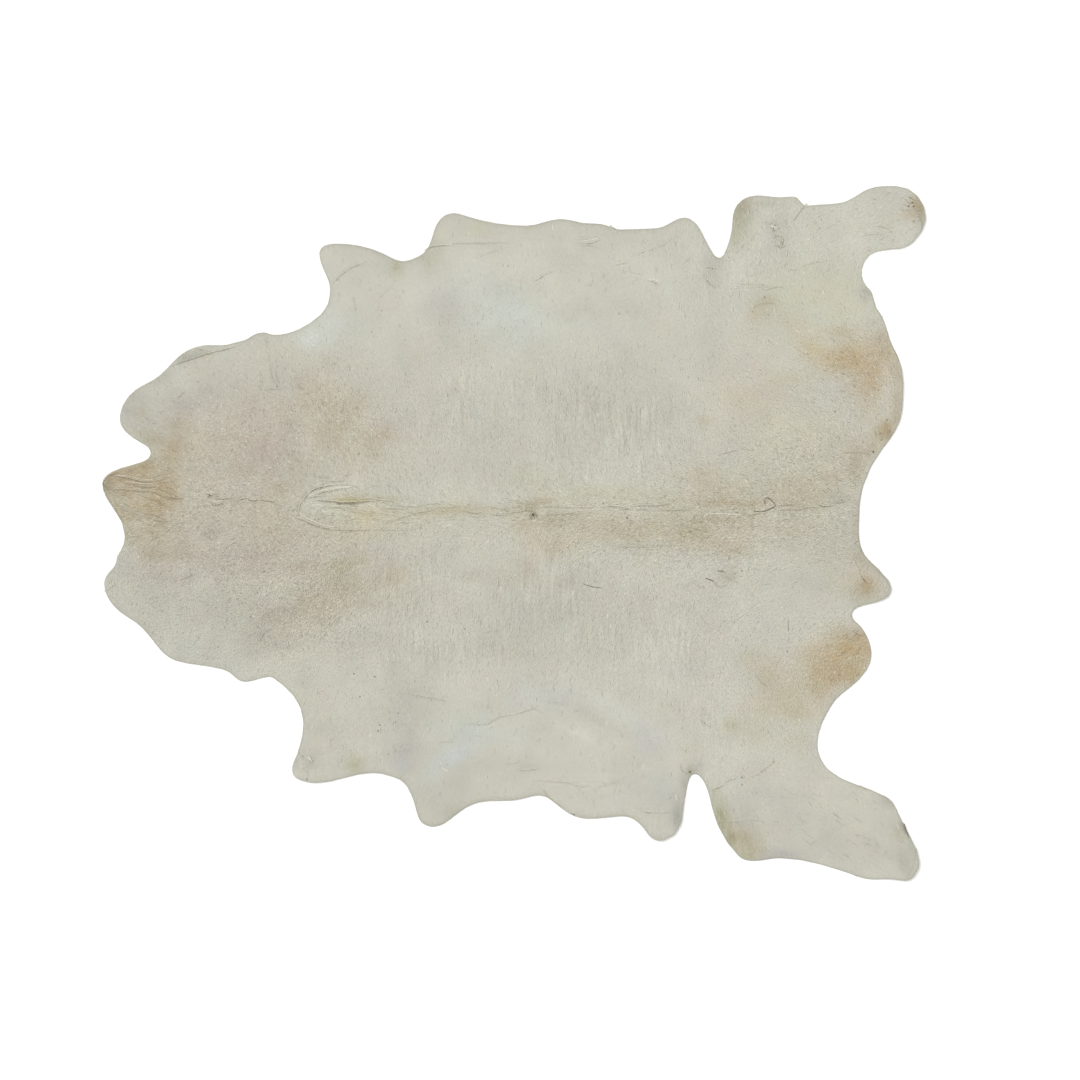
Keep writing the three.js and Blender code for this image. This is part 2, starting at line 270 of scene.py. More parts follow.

# Creases, tucks and the wrinkled lines of the spine: soft troughs with raised lips
crease = {
    "cell": 2.0,
    "spanSamples": 40,   # a path is first drawn with this many points between two of its own
    "leastSamples": 3,
    "sampleStep": 1.5,
    "reach": 5,          # a trough and its lips are lost at this many widths from the middle
    "narrow": 0.62,      # the widths below are as seen, lips included
    "lip": 0.4,          # height of the lips beside a trough, as a share of its depth
    "lipAway": 2.1,      # lips stand this many widths from the middle
    "endTaper": 0.22,    # share of the length over which each end fades out
    "unevenSize": 14.0,
    "uneven": 0.3,
    "unevenMost": 2,
    "seed": 3,
}
# the tone column is painted shade: how dark each crease is made along its middle, in its locks, its leather
# and the hairs laid along it
creases = tableOf(("path", "width", "depth", "tone"), (
    # tail stub, a fan of wrinkles
    (((-1072, 153), (-1042, 148), (-1021, 143), (-1005, 139), (-978, 139)), 3, 1.0, 0.8),
    (((-978, 139), (-956, 143), (-937, 150)), 3, 0.8, 0.45),
    (((-1018, 128), (-991, 124), (-972, 126)), 4, 0.9, 0.5),
    (((-1091, 119), (-1051, 117), (-1010, 113), (-980, 111)), 4, 0.9, 0.4),
    (((-964, 120), (-948, 116), (-932, 111)), 3, 0.8, 0.5),
    (((-945, 100), (-924, 96), (-899, 93)), 3, 0.8, 0.45),
    (((-999, 45), (-970, 36), (-943, 30)), 4, 0.9, 0.35),
    (((-1053, 134), (-1010, 132)), 3, 0.6, 0.25),
    (((-983, 150), (-961, 155), (-940, 161)), 3, 0.6, 0.25),
    # spine of the rump, broken and knotted
    (((-835, 109), (-821, 103), (-808, 99)), 3, 0.8, 1),
    (((-813, 82), (-797, 78), (-786, 84)), 3, 0.7, 0.6),
    (((-805, 94), (-783, 92), (-759, 96)), 3, 0.7, 0.6),
    (((-745, 89), (-721, 94), (-708, 88), (-689, 88)), 3, 0.7, 0.65),
    (((-689, 90), (-675, 89), (-662, 86), (-643, 84)), 3, 0.7, 0.7),
    (((-643, 82), (-635, 74)), 3, 0.6, 0.6),
    # sides of the rump: a tucked lip on the left edge, a nick on the right
    (((-926, 450), (-902, 459), (-875, 468), (-848, 477), (-816, 487), (-781, 495), (-745, 506)),
     4, 1.4, 0.55),
    (((-832, 487), (-821, 483)), 3, 0.5, 0.9),
    (((-853, 497), (-837, 494)), 3, 0.4, 0.6),
    (((-667, 531), (-666, 506)), 4, 0.7, 0.25),
    (((-663, 490), (-659, 458), (-654, 431), (-643, 398)), 3, 0.8, 0.4),
    (((-646, 439), (-639, 420), (-636, 401)), 3, 0.5, 0.3),
    (((-1102, -155), (-1088, -147), (-1072, -136)), 3, 0.8, 0.4),
    (((-870, -306), (-856, -288), (-845, -271)), 3, 0.5, 0.2),
    (((-686, 447), (-681, 404), (-691, 377)), 3, 0.6, 0.3),
    (((-673, 389), (-624, 389)), 3, 0.5, 0.25),
    (((-894, -123), (-867, -112)), 3, 0.5, 0.35),
    (((-691, -296), (-673, -266)), 4, 0.7, 0.45),
    # ring of the hip, nested arcs round a long fold
    (((-583, 55), (-578, 77), (-565, 96), (-551, 112)), 9, 1.2, 0.2),
    (((-554, 111), (-540, 117), (-524, 123), (-505, 127), (-484, 130)), 4, 1.1, 0.85),
    (((-489, 130), (-459, 131), (-432, 127), (-408, 116)), 3, 0.8, 0.45),
    (((-532, 103), (-511, 111), (-489, 115), (-467, 119), (-440, 123)), 3, 0.8, 0.5),
    (((-554, 94), (-532, 99), (-513, 100)), 3, 0.6, 0.45),
    (((-502, 139), (-478, 140), (-454, 142)), 3, 0.5, 0.3),
    (((-457, 155), (-440, 159)), 4, 0.5, 0.35),
    (((-535, 89), (-511, 87), (-486, 85), (-465, 82)), 4, 1.3, 0.7),
    (((-486, 85), (-465, 82), (-438, 82), (-411, 85)), 7, 2, 1),
    (((-427, 84), (-400, 86), (-373, 86)), 4, 1.2, 0.8),
    (((-416, 89), (-392, 93), (-362, 89), (-327, 85)), 3, 0.8, 0.55),
    (((-378, 99), (-351, 92)), 3, 0.6, 0.4),
    (((-497, 69), (-470, 68), (-448, 61), (-421, 55)), 3, 0.6, 0.4),
    (((-467, 32), (-443, 35), (-424, 39)), 3, 0.5, 0.3),
    (((-589, 42), (-567, 34), (-543, 23), (-516, 15), (-489, 9)), 4, 1, 0.65),
    (((-494, 10), (-459, 8), (-421, 8), (-376, 9)), 3, 0.9, 0.5),
    (((-389, 9), (-330, 8), (-278, 8)), 3, 0.7, 0.3),
    (((-521, 53), (-516, 42), (-508, 34)), 5, 0.6, 0.3),
    (((-351, 142), (-327, 134), (-313, 117), (-297, 103)), 3, 0.6, 0.35),
    (((-438, 109), (-411, 116), (-384, 126), (-359, 131)), 3, 0.5, 0.25),
    # spine over the loin
    (((-330, 76), (-295, 72), (-254, 70)), 3, 0.6, 0.3),
    (((-362, 66), (-322, 65), (-292, 66)), 3, 0.6, 0.3),
    (((-259, 74), (-227, 78), (-197, 80)), 3, 0.5, 0.3),
    (((-327, 34), (-289, 45), (-254, 55), (-219, 63)), 3, 0.6, 0.3),
    (((-200, 68), (-173, 69), (-146, 74)), 3, 0.5, 0.28),
    (((-130, 58), (-108, 54), (-87, 55)), 3, 0.6, 0.5),
    (((-119, 45), (-92, 43)), 3, 0.5, 0.45),
    (((-76, 72), (-46, 68), (-16, 61)), 3, 0.5, 0.3),
    (((-60, 50), (-25, 47)), 3, 0.5, 0.4),
    (((-16, 53), (16, 57), (35, 61)), 3, 0.5, 0.38),
    # spine over the back and the neck
    (((70, 72), (124, 70), (167, 68)), 3, 0.8, 0.2),
    (((173, 69), (210, 69)), 3, 0.6, 0.2),
    (((92, 49), (129, 51), (170, 55)), 3, 0.5, 0.25),
    (((245, 73), (286, 70), (318, 64)), 3, 0.7, 0.45),
    (((289, 64), (313, 65)), 3, 0.7, 0.6),
    (((318, 72), (343, 74), (380, 74), (418, 77)), 3, 0.8, 0.42),
    (((332, 63), (356, 63)), 3, 0.5, 0.35),
    (((394, 62), (437, 62), (475, 63)), 3, 0.6, 0.4),
    (((632, 46), (648, 50), (667, 54)), 3, 0.7, 0.75),
    (((710, 74), (734, 76), (753, 77)), 4, 0.8, 0.75),
    (((715, 63), (758, 63), (788, 66)), 3, 0.6, 0.4),
    (((780, 70), (818, 69)), 3, 0.7, 0.5),
    (((821, 77), (837, 72), (858, 74)), 4, 0.8, 0.8),
    (((864, 81), (896, 85)), 5, 0.8, 0.3),
    (((583, -42), (602, -49), (621, -58)), 3, 0.6, 0.5),
    (((264, -38), (340, -36), (421, -34)), 6, 0.6, 0.1),
    # beside the ring of the hip
    (((-529, 151), (-497, 151)), 3, 0.5, 0.3),
    (((-637, 58), (-637, 45)), 3, 0.5, 0.4),
    # left hind point and belly
    (((-494, 668), (-478, 686), (-451, 709), (-424, 722), (-403, 732)), 4, 1, 0.3),
    (((-438, 647), (-432, 630), (-428, 614), (-427, 595)), 3, 0.7, 0.35),
    (((-367, 603), (-365, 630), (-351, 647), (-338, 660)), 3, 0.5, 0.15),
    (((-322, 728), (-313, 709)), 7, 0.8, 0.15),
    (((-238, 764), (-224, 772), (-208, 775), (-192, 776), (-173, 777)), 4, 1.1, 0.6),
    (((-178, 776), (-157, 782), (-119, 782), (-73, 783), (-16, 783)), 4, 0.8, 0.22),
    (((-87, 749), (-68, 755), (-46, 764)), 4, 0.5, 0.1),
    (((-138, 674), (-114, 680)), 4, 0.5, 0.12),
    (((56, 680), (70, 688), (83, 698)), 3, 0.9, 0.5),
    (((81, 697), (102, 705)), 4, 0.7, 0.3),
    (((183, 783), (205, 782), (229, 791)), 3, 0.9, 0.4),
    (((183, 794), (208, 794)), 3, 0.4, 0.12),
    (((272, 724), (289, 727), (305, 729)), 3, 0.7, 0.22),
    (((289, 711), (313, 705), (348, 698)), 3, 0.7, 0.2),
    (((326, 751), (362, 763), (397, 775), (421, 791), (443, 811)), 4, 0.9, 0.2),
    (((429, 795), (440, 780)), 3, 0.5, 0.15),
    (((200, 668), (216, 675)), 4, 0.5, 0.2),
    (((178, 802), (189, 801)), 3, 0.5, 0.4),
    (((186, 776), (210, 776)), 3, 0.5, 0.3),
    (((262, 828), (278, 817)), 3, 0.6, 0.5),
    # left armpit and foreleg
    (((457, 729), (470, 738), (476, 748)), 3, 0.8, 0.4),
    (((362, 681), (378, 678), (397, 667)), 4, 1.2, 0.45),
    (((515, 718), (529, 716), (548, 714)), 4, 0.9, 0.5),
    (((518, 711), (513, 695), (524, 679), (537, 668), (548, 659)), 4, 1.1, 0.65),
    (((548, 657), (596, 660), (664, 664), (731, 668)), 4, 0.7, 0.12),
    (((602, 675), (637, 672), (686, 671)), 3, 0.8, 0.2),
    (((634, 694), (659, 698)), 3, 0.6, 0.2),
    (((742, 711), (764, 711)), 3, 0.6, 0.3),
    (((772, 716), (788, 724), (807, 729), (834, 734)), 3, 0.7, 0.25),
    (((788, 886), (777, 875), (767, 861), (752, 841)), 3, 1.4, 0.8),
    (((699, 838), (707, 830)), 3, 0.8, 0.8),
    (((700, 822), (704, 811)), 3, 0.8, 0.8),
    (((707, 803), (721, 796), (723, 782), (719, 770)), 3, 0.9, 0.75),
    (((698, 787), (704, 775)), 3, 0.6, 0.5),
    (((765, 817), (769, 805)), 3, 0.6, 0.45),
    (((811, 644), (812, 620)), 3, 0.6, 0.4),
    (((839, 774), (858, 757)), 4, 0.6, 0.3),
    (((923, 887), (926, 868)), 3, 0.7, 0.4),
    (((964, 909), (972, 902), (983, 899)), 3, 0.7, 0.45),
    (((996, 929), (1000, 915)), 3, 0.5, 0.3),
    (((977, 829), (1001, 825), (1015, 817), (1026, 803)), 3, 0.9, 0.4),
    (((1023, 805), (1025, 795), (1024, 783)), 3, 0.8, 0.55),
    (((939, 802), (974, 807), (1004, 805)), 4, 0.6, 0.15),
    (((1019, 887), (1021, 857), (1020, 825)), 5, 0.6, 0.12),
    (((950, 775), (957, 764), (964, 757)), 4, 0.8, 0.45),
    # right flank, longer and softer folds
    (((-286, -431), (-249, -441), (-214, -446), (-173, -456)), 5, 0.8, 0.22),
    (((-138, -512), (-106, -515), (-73, -514), (-43, -498), (2, -487)), 5, 0.9, 0.2),
    (((-6, -490), (27, -481), (56, -474), (78, -487)), 4, 0.8, 0.25),
    (((-203, -563), (-162, -562)), 3, 0.5, 0.25),
    (((89, -455), (116, -458)), 3, 0.4, 0.25),
    (((65, -398), (132, -450), (197, -487), (267, -525), (362, -560)), 24, 2.4, 0),
    (((97, -495), (164, -536), (281, -585)), 24, -1.6, 0),
    (((426, -290), (502, -266), (588, -236), (623, -215), (656, -198), (707, -188)), 9, 0.5, 0.03),
    (((459, -587), (468, -592)), 3, 0.7, 0.5),
    # right belly and hind point
    (((-22, -622), (0, -621), (11, -616)), 4, 0.7, 0.3),
    (((11, -639), (35, -640), (65, -636)), 4, 0.8, 0.28),
    (((65, -668), (105, -670), (143, -673), (178, -682), (202, -682)), 4, 0.8, 0.25),
    (((224, -687), (248, -679), (275, -672), (305, -674)), 6, 0.6, 0.12),
    (((73, -684), (86, -701), (97, -713), (113, -726), (132, -737)), 4, 1.2, 0.5),
    (((151, -753), (167, -760)), 4, 0.8, 0.6),
    (((-60, -709), (-35, -714)), 3, 0.6, 0.3),
    (((-16, -711), (0, -718)), 3, 0.6, 0.45),
    (((326, -740), (345, -748)), 3, 0.6, 0.3),
    (((348, -752), (372, -754)), 4, 0.9, 0.6),
    (((372, -754), (426, -755)), 3, 0.6, 0.2),
    (((-573, -593), (-565, -605)), 4, 0.8, 0.65),
    (((-546, -603), (-544, -612), (-539, -621)), 3, 0.8, 0.85),
    (((-556, -634), (-555, -652)), 3, 0.6, 0.5),
    (((-489, -549), (-485, -560)), 4, 0.6, 0.4),
    (((-532, -595), (-511, -595)), 3, 0.5, 0.15),
    (((-467, -566), (-457, -576)), 3, 0.5, 0.4),
    (((-327, -571), (-313, -590)), 3, 0.5, 0.4),
    # right armpit and foreleg
    (((532, -694), (548, -688), (569, -679)), 4, 1.2, 0.6),
    (((569, -675), (583, -666), (599, -661)), 4, 0.8, 0.3),
    (((637, -657), (656, -652), (672, -640), (688, -628), (704, -616)), 3, 0.8, 0.3),
    (((451, -622), (454, -639), (467, -647)), 4, 0.8, 0.5),
    (((556, -779), (596, -779), (618, -776)), 3, 0.7, 0.35),
    (((634, -772), (656, -775), (680, -782)), 3, 0.7, 0.3),
    (((802, -703), (829, -710)), 3, 0.6, 0.2),
    (((831, -660), (853, -659)), 3, 0.6, 0.2),
    (((861, -756), (875, -764)), 3, 0.6, 0.4),
    (((861, -770), (875, -776)), 3, 0.6, 0.4),
    (((950, -837), (969, -844)), 3, 0.6, 0.4),
    (((978, -826), (981, -849)), 3, 0.6, 0.3),
    (((893, -864), (907, -876)), 3, 0.6, 0.35),
    (((785, -825), (804, -844)), 3, 0.6, 0.3),
    (((1004, -855), (1005, -871)), 4, 0.5, 0.25),
    (((937, -685), (953, -692)), 3, 0.6, 0.6),
    (((807, -595), (819, -612)), 3, 0.6, 0.4),
    (((691, -728), (696, -736)), 3, 0.6, 0.4),
    (((723, -687), (748, -701), (772, -709)), 3, 0.5, 0.2),
    # left of the neck
    (((893, 217), (950, 217)), 3, 0.5, 0.25),
))


def curveThrough(path, step):
    # a smooth line through the points of a path, sampled evenly
    ends = np.array([path[0], *path, path[-1]], float)
    t = np.linspace(0, 1, crease["spanSamples"], endpoint=False)[:, None]
    pieces = []
    for a, b, c, d in zip(ends, ends[1:], ends[2:], ends[3:]):
        pieces.append(0.5 * (2 * b + (c - a) * t + (2 * a - 5 * b + 4 * c - d) * t ** 2
                             + (3 * b - a - 3 * c + d) * t ** 3))
    line = np.vstack([*pieces, ends[-1:]])
    along = lengthAlong(line)
    places = np.linspace(0, along[-1], max(crease["leastSamples"], int(along[-1] / step)))
    return pointsAt(places, along, line)


def creaseFieldsOf(rows):
    xs, ys = gridOf(crease["cell"])
    drop, tone = (np.zeros((len(ys), len(xs))) for _ in range(2))
    unevenField, most = noiseField(crease["unevenSize"], crease["seed"]), crease["unevenMost"]
    for row in rows:
        line = curveThrough(row["path"], crease["sampleStep"])
        width = crease["narrow"] * row["width"]
        reach = crease["reach"] * width
        i0, i1 = np.searchsorted(xs, [line[:, 0].min() - reach, line[:, 0].max() + reach])
        j0, j1 = np.searchsorted(ys, [line[:, 1].min() - reach, line[:, 1].max() + reach])
        x, y = np.meshgrid(xs[i0:i1], ys[j0:j1])
        away = np.hypot(x[..., None] - line[:, 0], y[..., None] - line[:, 1])
        place = away.argmin(axis=2) / (len(line) - 1)
        away = away.min(axis=2) / width
        fade = smoothstep(0, crease["endTaper"], np.minimum(place, 1 - place))
        fade *= 1 + crease["uneven"] * readField(unevenField, x, y).clip(-most, most)
        lips = crease["lip"] * np.exp(-(away - crease["lipAway"]) ** 2)
        drop[j0:j1, i0:i1] += fade * row["depth"] * (np.exp(-away ** 2) - lips)
        # painted shade, darkest along the crease's middle
        deeper = fade * row["tone"] * np.exp(-away ** 2)
        tone[j0:j1, i0:i1] = np.maximum(tone[j0:j1, i0:i1], deeper)
    return (xs, ys, drop), (xs, ys, tone)


dropField, creaseShadeField = creaseFieldsOf(creases)
print("creases:", len(creases))

# The leather under the hair: the folds of the solid, the creases and a faint unevenness
leather = {
    "thickness": 2.2,
    "leastShare": 0.6,   # the share of it that the deepest crease leaves
    "inset": 2.5,        # the hair hides the cut edge by this much
    "cell": 8.5,         # spacing of the points on the hair side
    "underCell": 26.0,
    "jitter": 0.05,
    "rimClear": 0.6,     # these points keep this many steps of the edge away from it
    "underClear": 6,     # and those of the flesh side so much more
    "creaseCell": 4.0,   # closer points along each crease and this far beside it
    "creaseBeside": 4.5,
    "creaseFrom": 0.04,  # they take the place of the others where a crease has this much tone
    "weld": 1e-4,        # points closer than this are one
    "edgeBulge": 0.4,
    "shade": 0.9,        # tone of the grain side against the hair's
    "waves": ((150.0, 0.45, 11), (60.0, 0.22, 12), (26.0, 0.1, 13)),  # size, height and seed
}
waveFields = [(height, noiseField(size, seed)) for size, height, seed in leather["waves"]]


def skinAt(x, y):
    waves = sum(height * readField(field, x, y) for height, field in waveFields)
    lowest = readField(underField, x, y) + leather["leastShare"] * leather["thickness"]
    return np.maximum(readField(topField, x, y) - form["coat"] + waves - readField(dropField, x, y), lowest)


def hexPoints(cell, jitter):
    xs, ys = gridOf(cell)
    x, y = np.meshgrid(xs, np.arange(ys[0], ys[-1], cell * math.sqrt(0.75)))  # rows of even triangles
    x = x + np.where(np.arange(len(x)) % 2, cell / 2, 0)[:, None]
    spots = np.stack([x.ravel(), y.ravel()], axis=1)
    return spots + rng.uniform(-jitter, jitter, spots.shape) * cell


def filled(rim, inner):
    # triangles inside the rim, with the rim's points first
    spots = np.vstack([rim, inner])
    edges = [(k, (k + 1) % len(rim)) for k in range(len(rim))]
    found = delaunay_2d_cdt(spots.tolist(), edges, [], 1, leather["weld"])
    if len(found[0]) != len(spots):
        raise RuntimeError("the leather's edge crosses itself: make leather inset smaller")
    return spots, np.array(found[2])


def addObject(name, data):
    added = bpy.data.objects.new(name, data)
    bpy.context.scene.collection.objects.link(added)
    return added


def newMesh(name, vertices, faces, smooth):
    mesh = bpy.data.meshes.new(name)
    sizes = np.array([len(face) for face in faces])
    corners = np.concatenate(faces)
    mesh.vertices.add(len(vertices))
    mesh.vertices.foreach_set("co", (vertices * mm).astype(np.float32).ravel())
    mesh.loops.add(len(corners))
    mesh.loops.foreach_set("vertex_index", corners.astype(np.int32))
    mesh.polygons.add(len(sizes))
    mesh.polygons.foreach_set("loop_start", np.concatenate([[0], np.cumsum(sizes)[:-1]]).astype(np.int32))
    mesh.polygons.foreach_set("use_smooth", np.broadcast_to(smooth, len(sizes)).astype(bool))
    mesh.update(calc_edges=True)
    return addObject(name, mesh)


def addColour(piece, colour):
    data = piece.data.attributes.new("hairColour", "FLOAT_COLOR", "POINT").data
    data.foreach_set("color", np.column_stack([colour, np.ones(len(colour))]).astype(np.float32).ravel())


def addMap(piece, name, places):
    corners = np.empty(len(piece.data.loops), np.int32)
    piece.data.loops.foreach_get("vertex_index", corners)
    piece.data.uv_layers.new(name=name).data.foreach_set("uv", places[corners].astype(np.float32).ravel())


def onPage(x, y):
    # place on a page that holds the whole hide, 0 to 1 each way
    low, high = (np.array(corner[:2]) / mm for corner in cadBox)
    reach = high.max() - low.min() + 2 * form["margin"]
    return np.stack([x, y], axis=-1) / reach + 0.5


# Stains and shades of the coat; each fades out from its middle
shade = {
    "cream": "#cecbbd",
    "wobbleSize": 70.0,
    "wobbleSeeds": (21, 22),
    "wobble": 15.0,      # how far the edge of a stain wanders, and the most of it that is looked for
    "wobbleMost": 3,
    "wobbleFrom": 120.0,  # narrower stains wander less
    "fall": 1.6,         # how steeply a stain fades from its middle
    "fadeOut": 2.1,      # it ends at this many times its reach
    "mostShare": 0.95,
    "speckle": 0.14,     # how unevenly neighbouring locks take up a stain
    "speckleMost": 1.8,
    "patchy": ((15.0, 0.1, 24), (44.0, 0.14, 25)),  # size, share and seed of the clouds within the stains
    "patchyLimits": (0.2, 2),
    # size, depth in red, green and blue, and seed of the clouds over the whole coat
    "mottle": ((95.0, (0.02, 0.02, 0.02), 23), (36.0, (0.015, 0.015, 0.015), 26),
               (30.0, (0.0035, -0.0035, 0.0), 27), (22.0, (0.002, 0.001, -0.005), 28),
               (60.0, (0.003, 0.0, -0.006), 29)),
    "floorTint": "#cacfcc",  # the thin hair near the edge takes light from the pale floor
    "floorShare": 0.1,
    "floorReach": 45.0,
    "reflected": 0.89,   # the tones here are as seen in bright light; the hair reflects this share of them
}
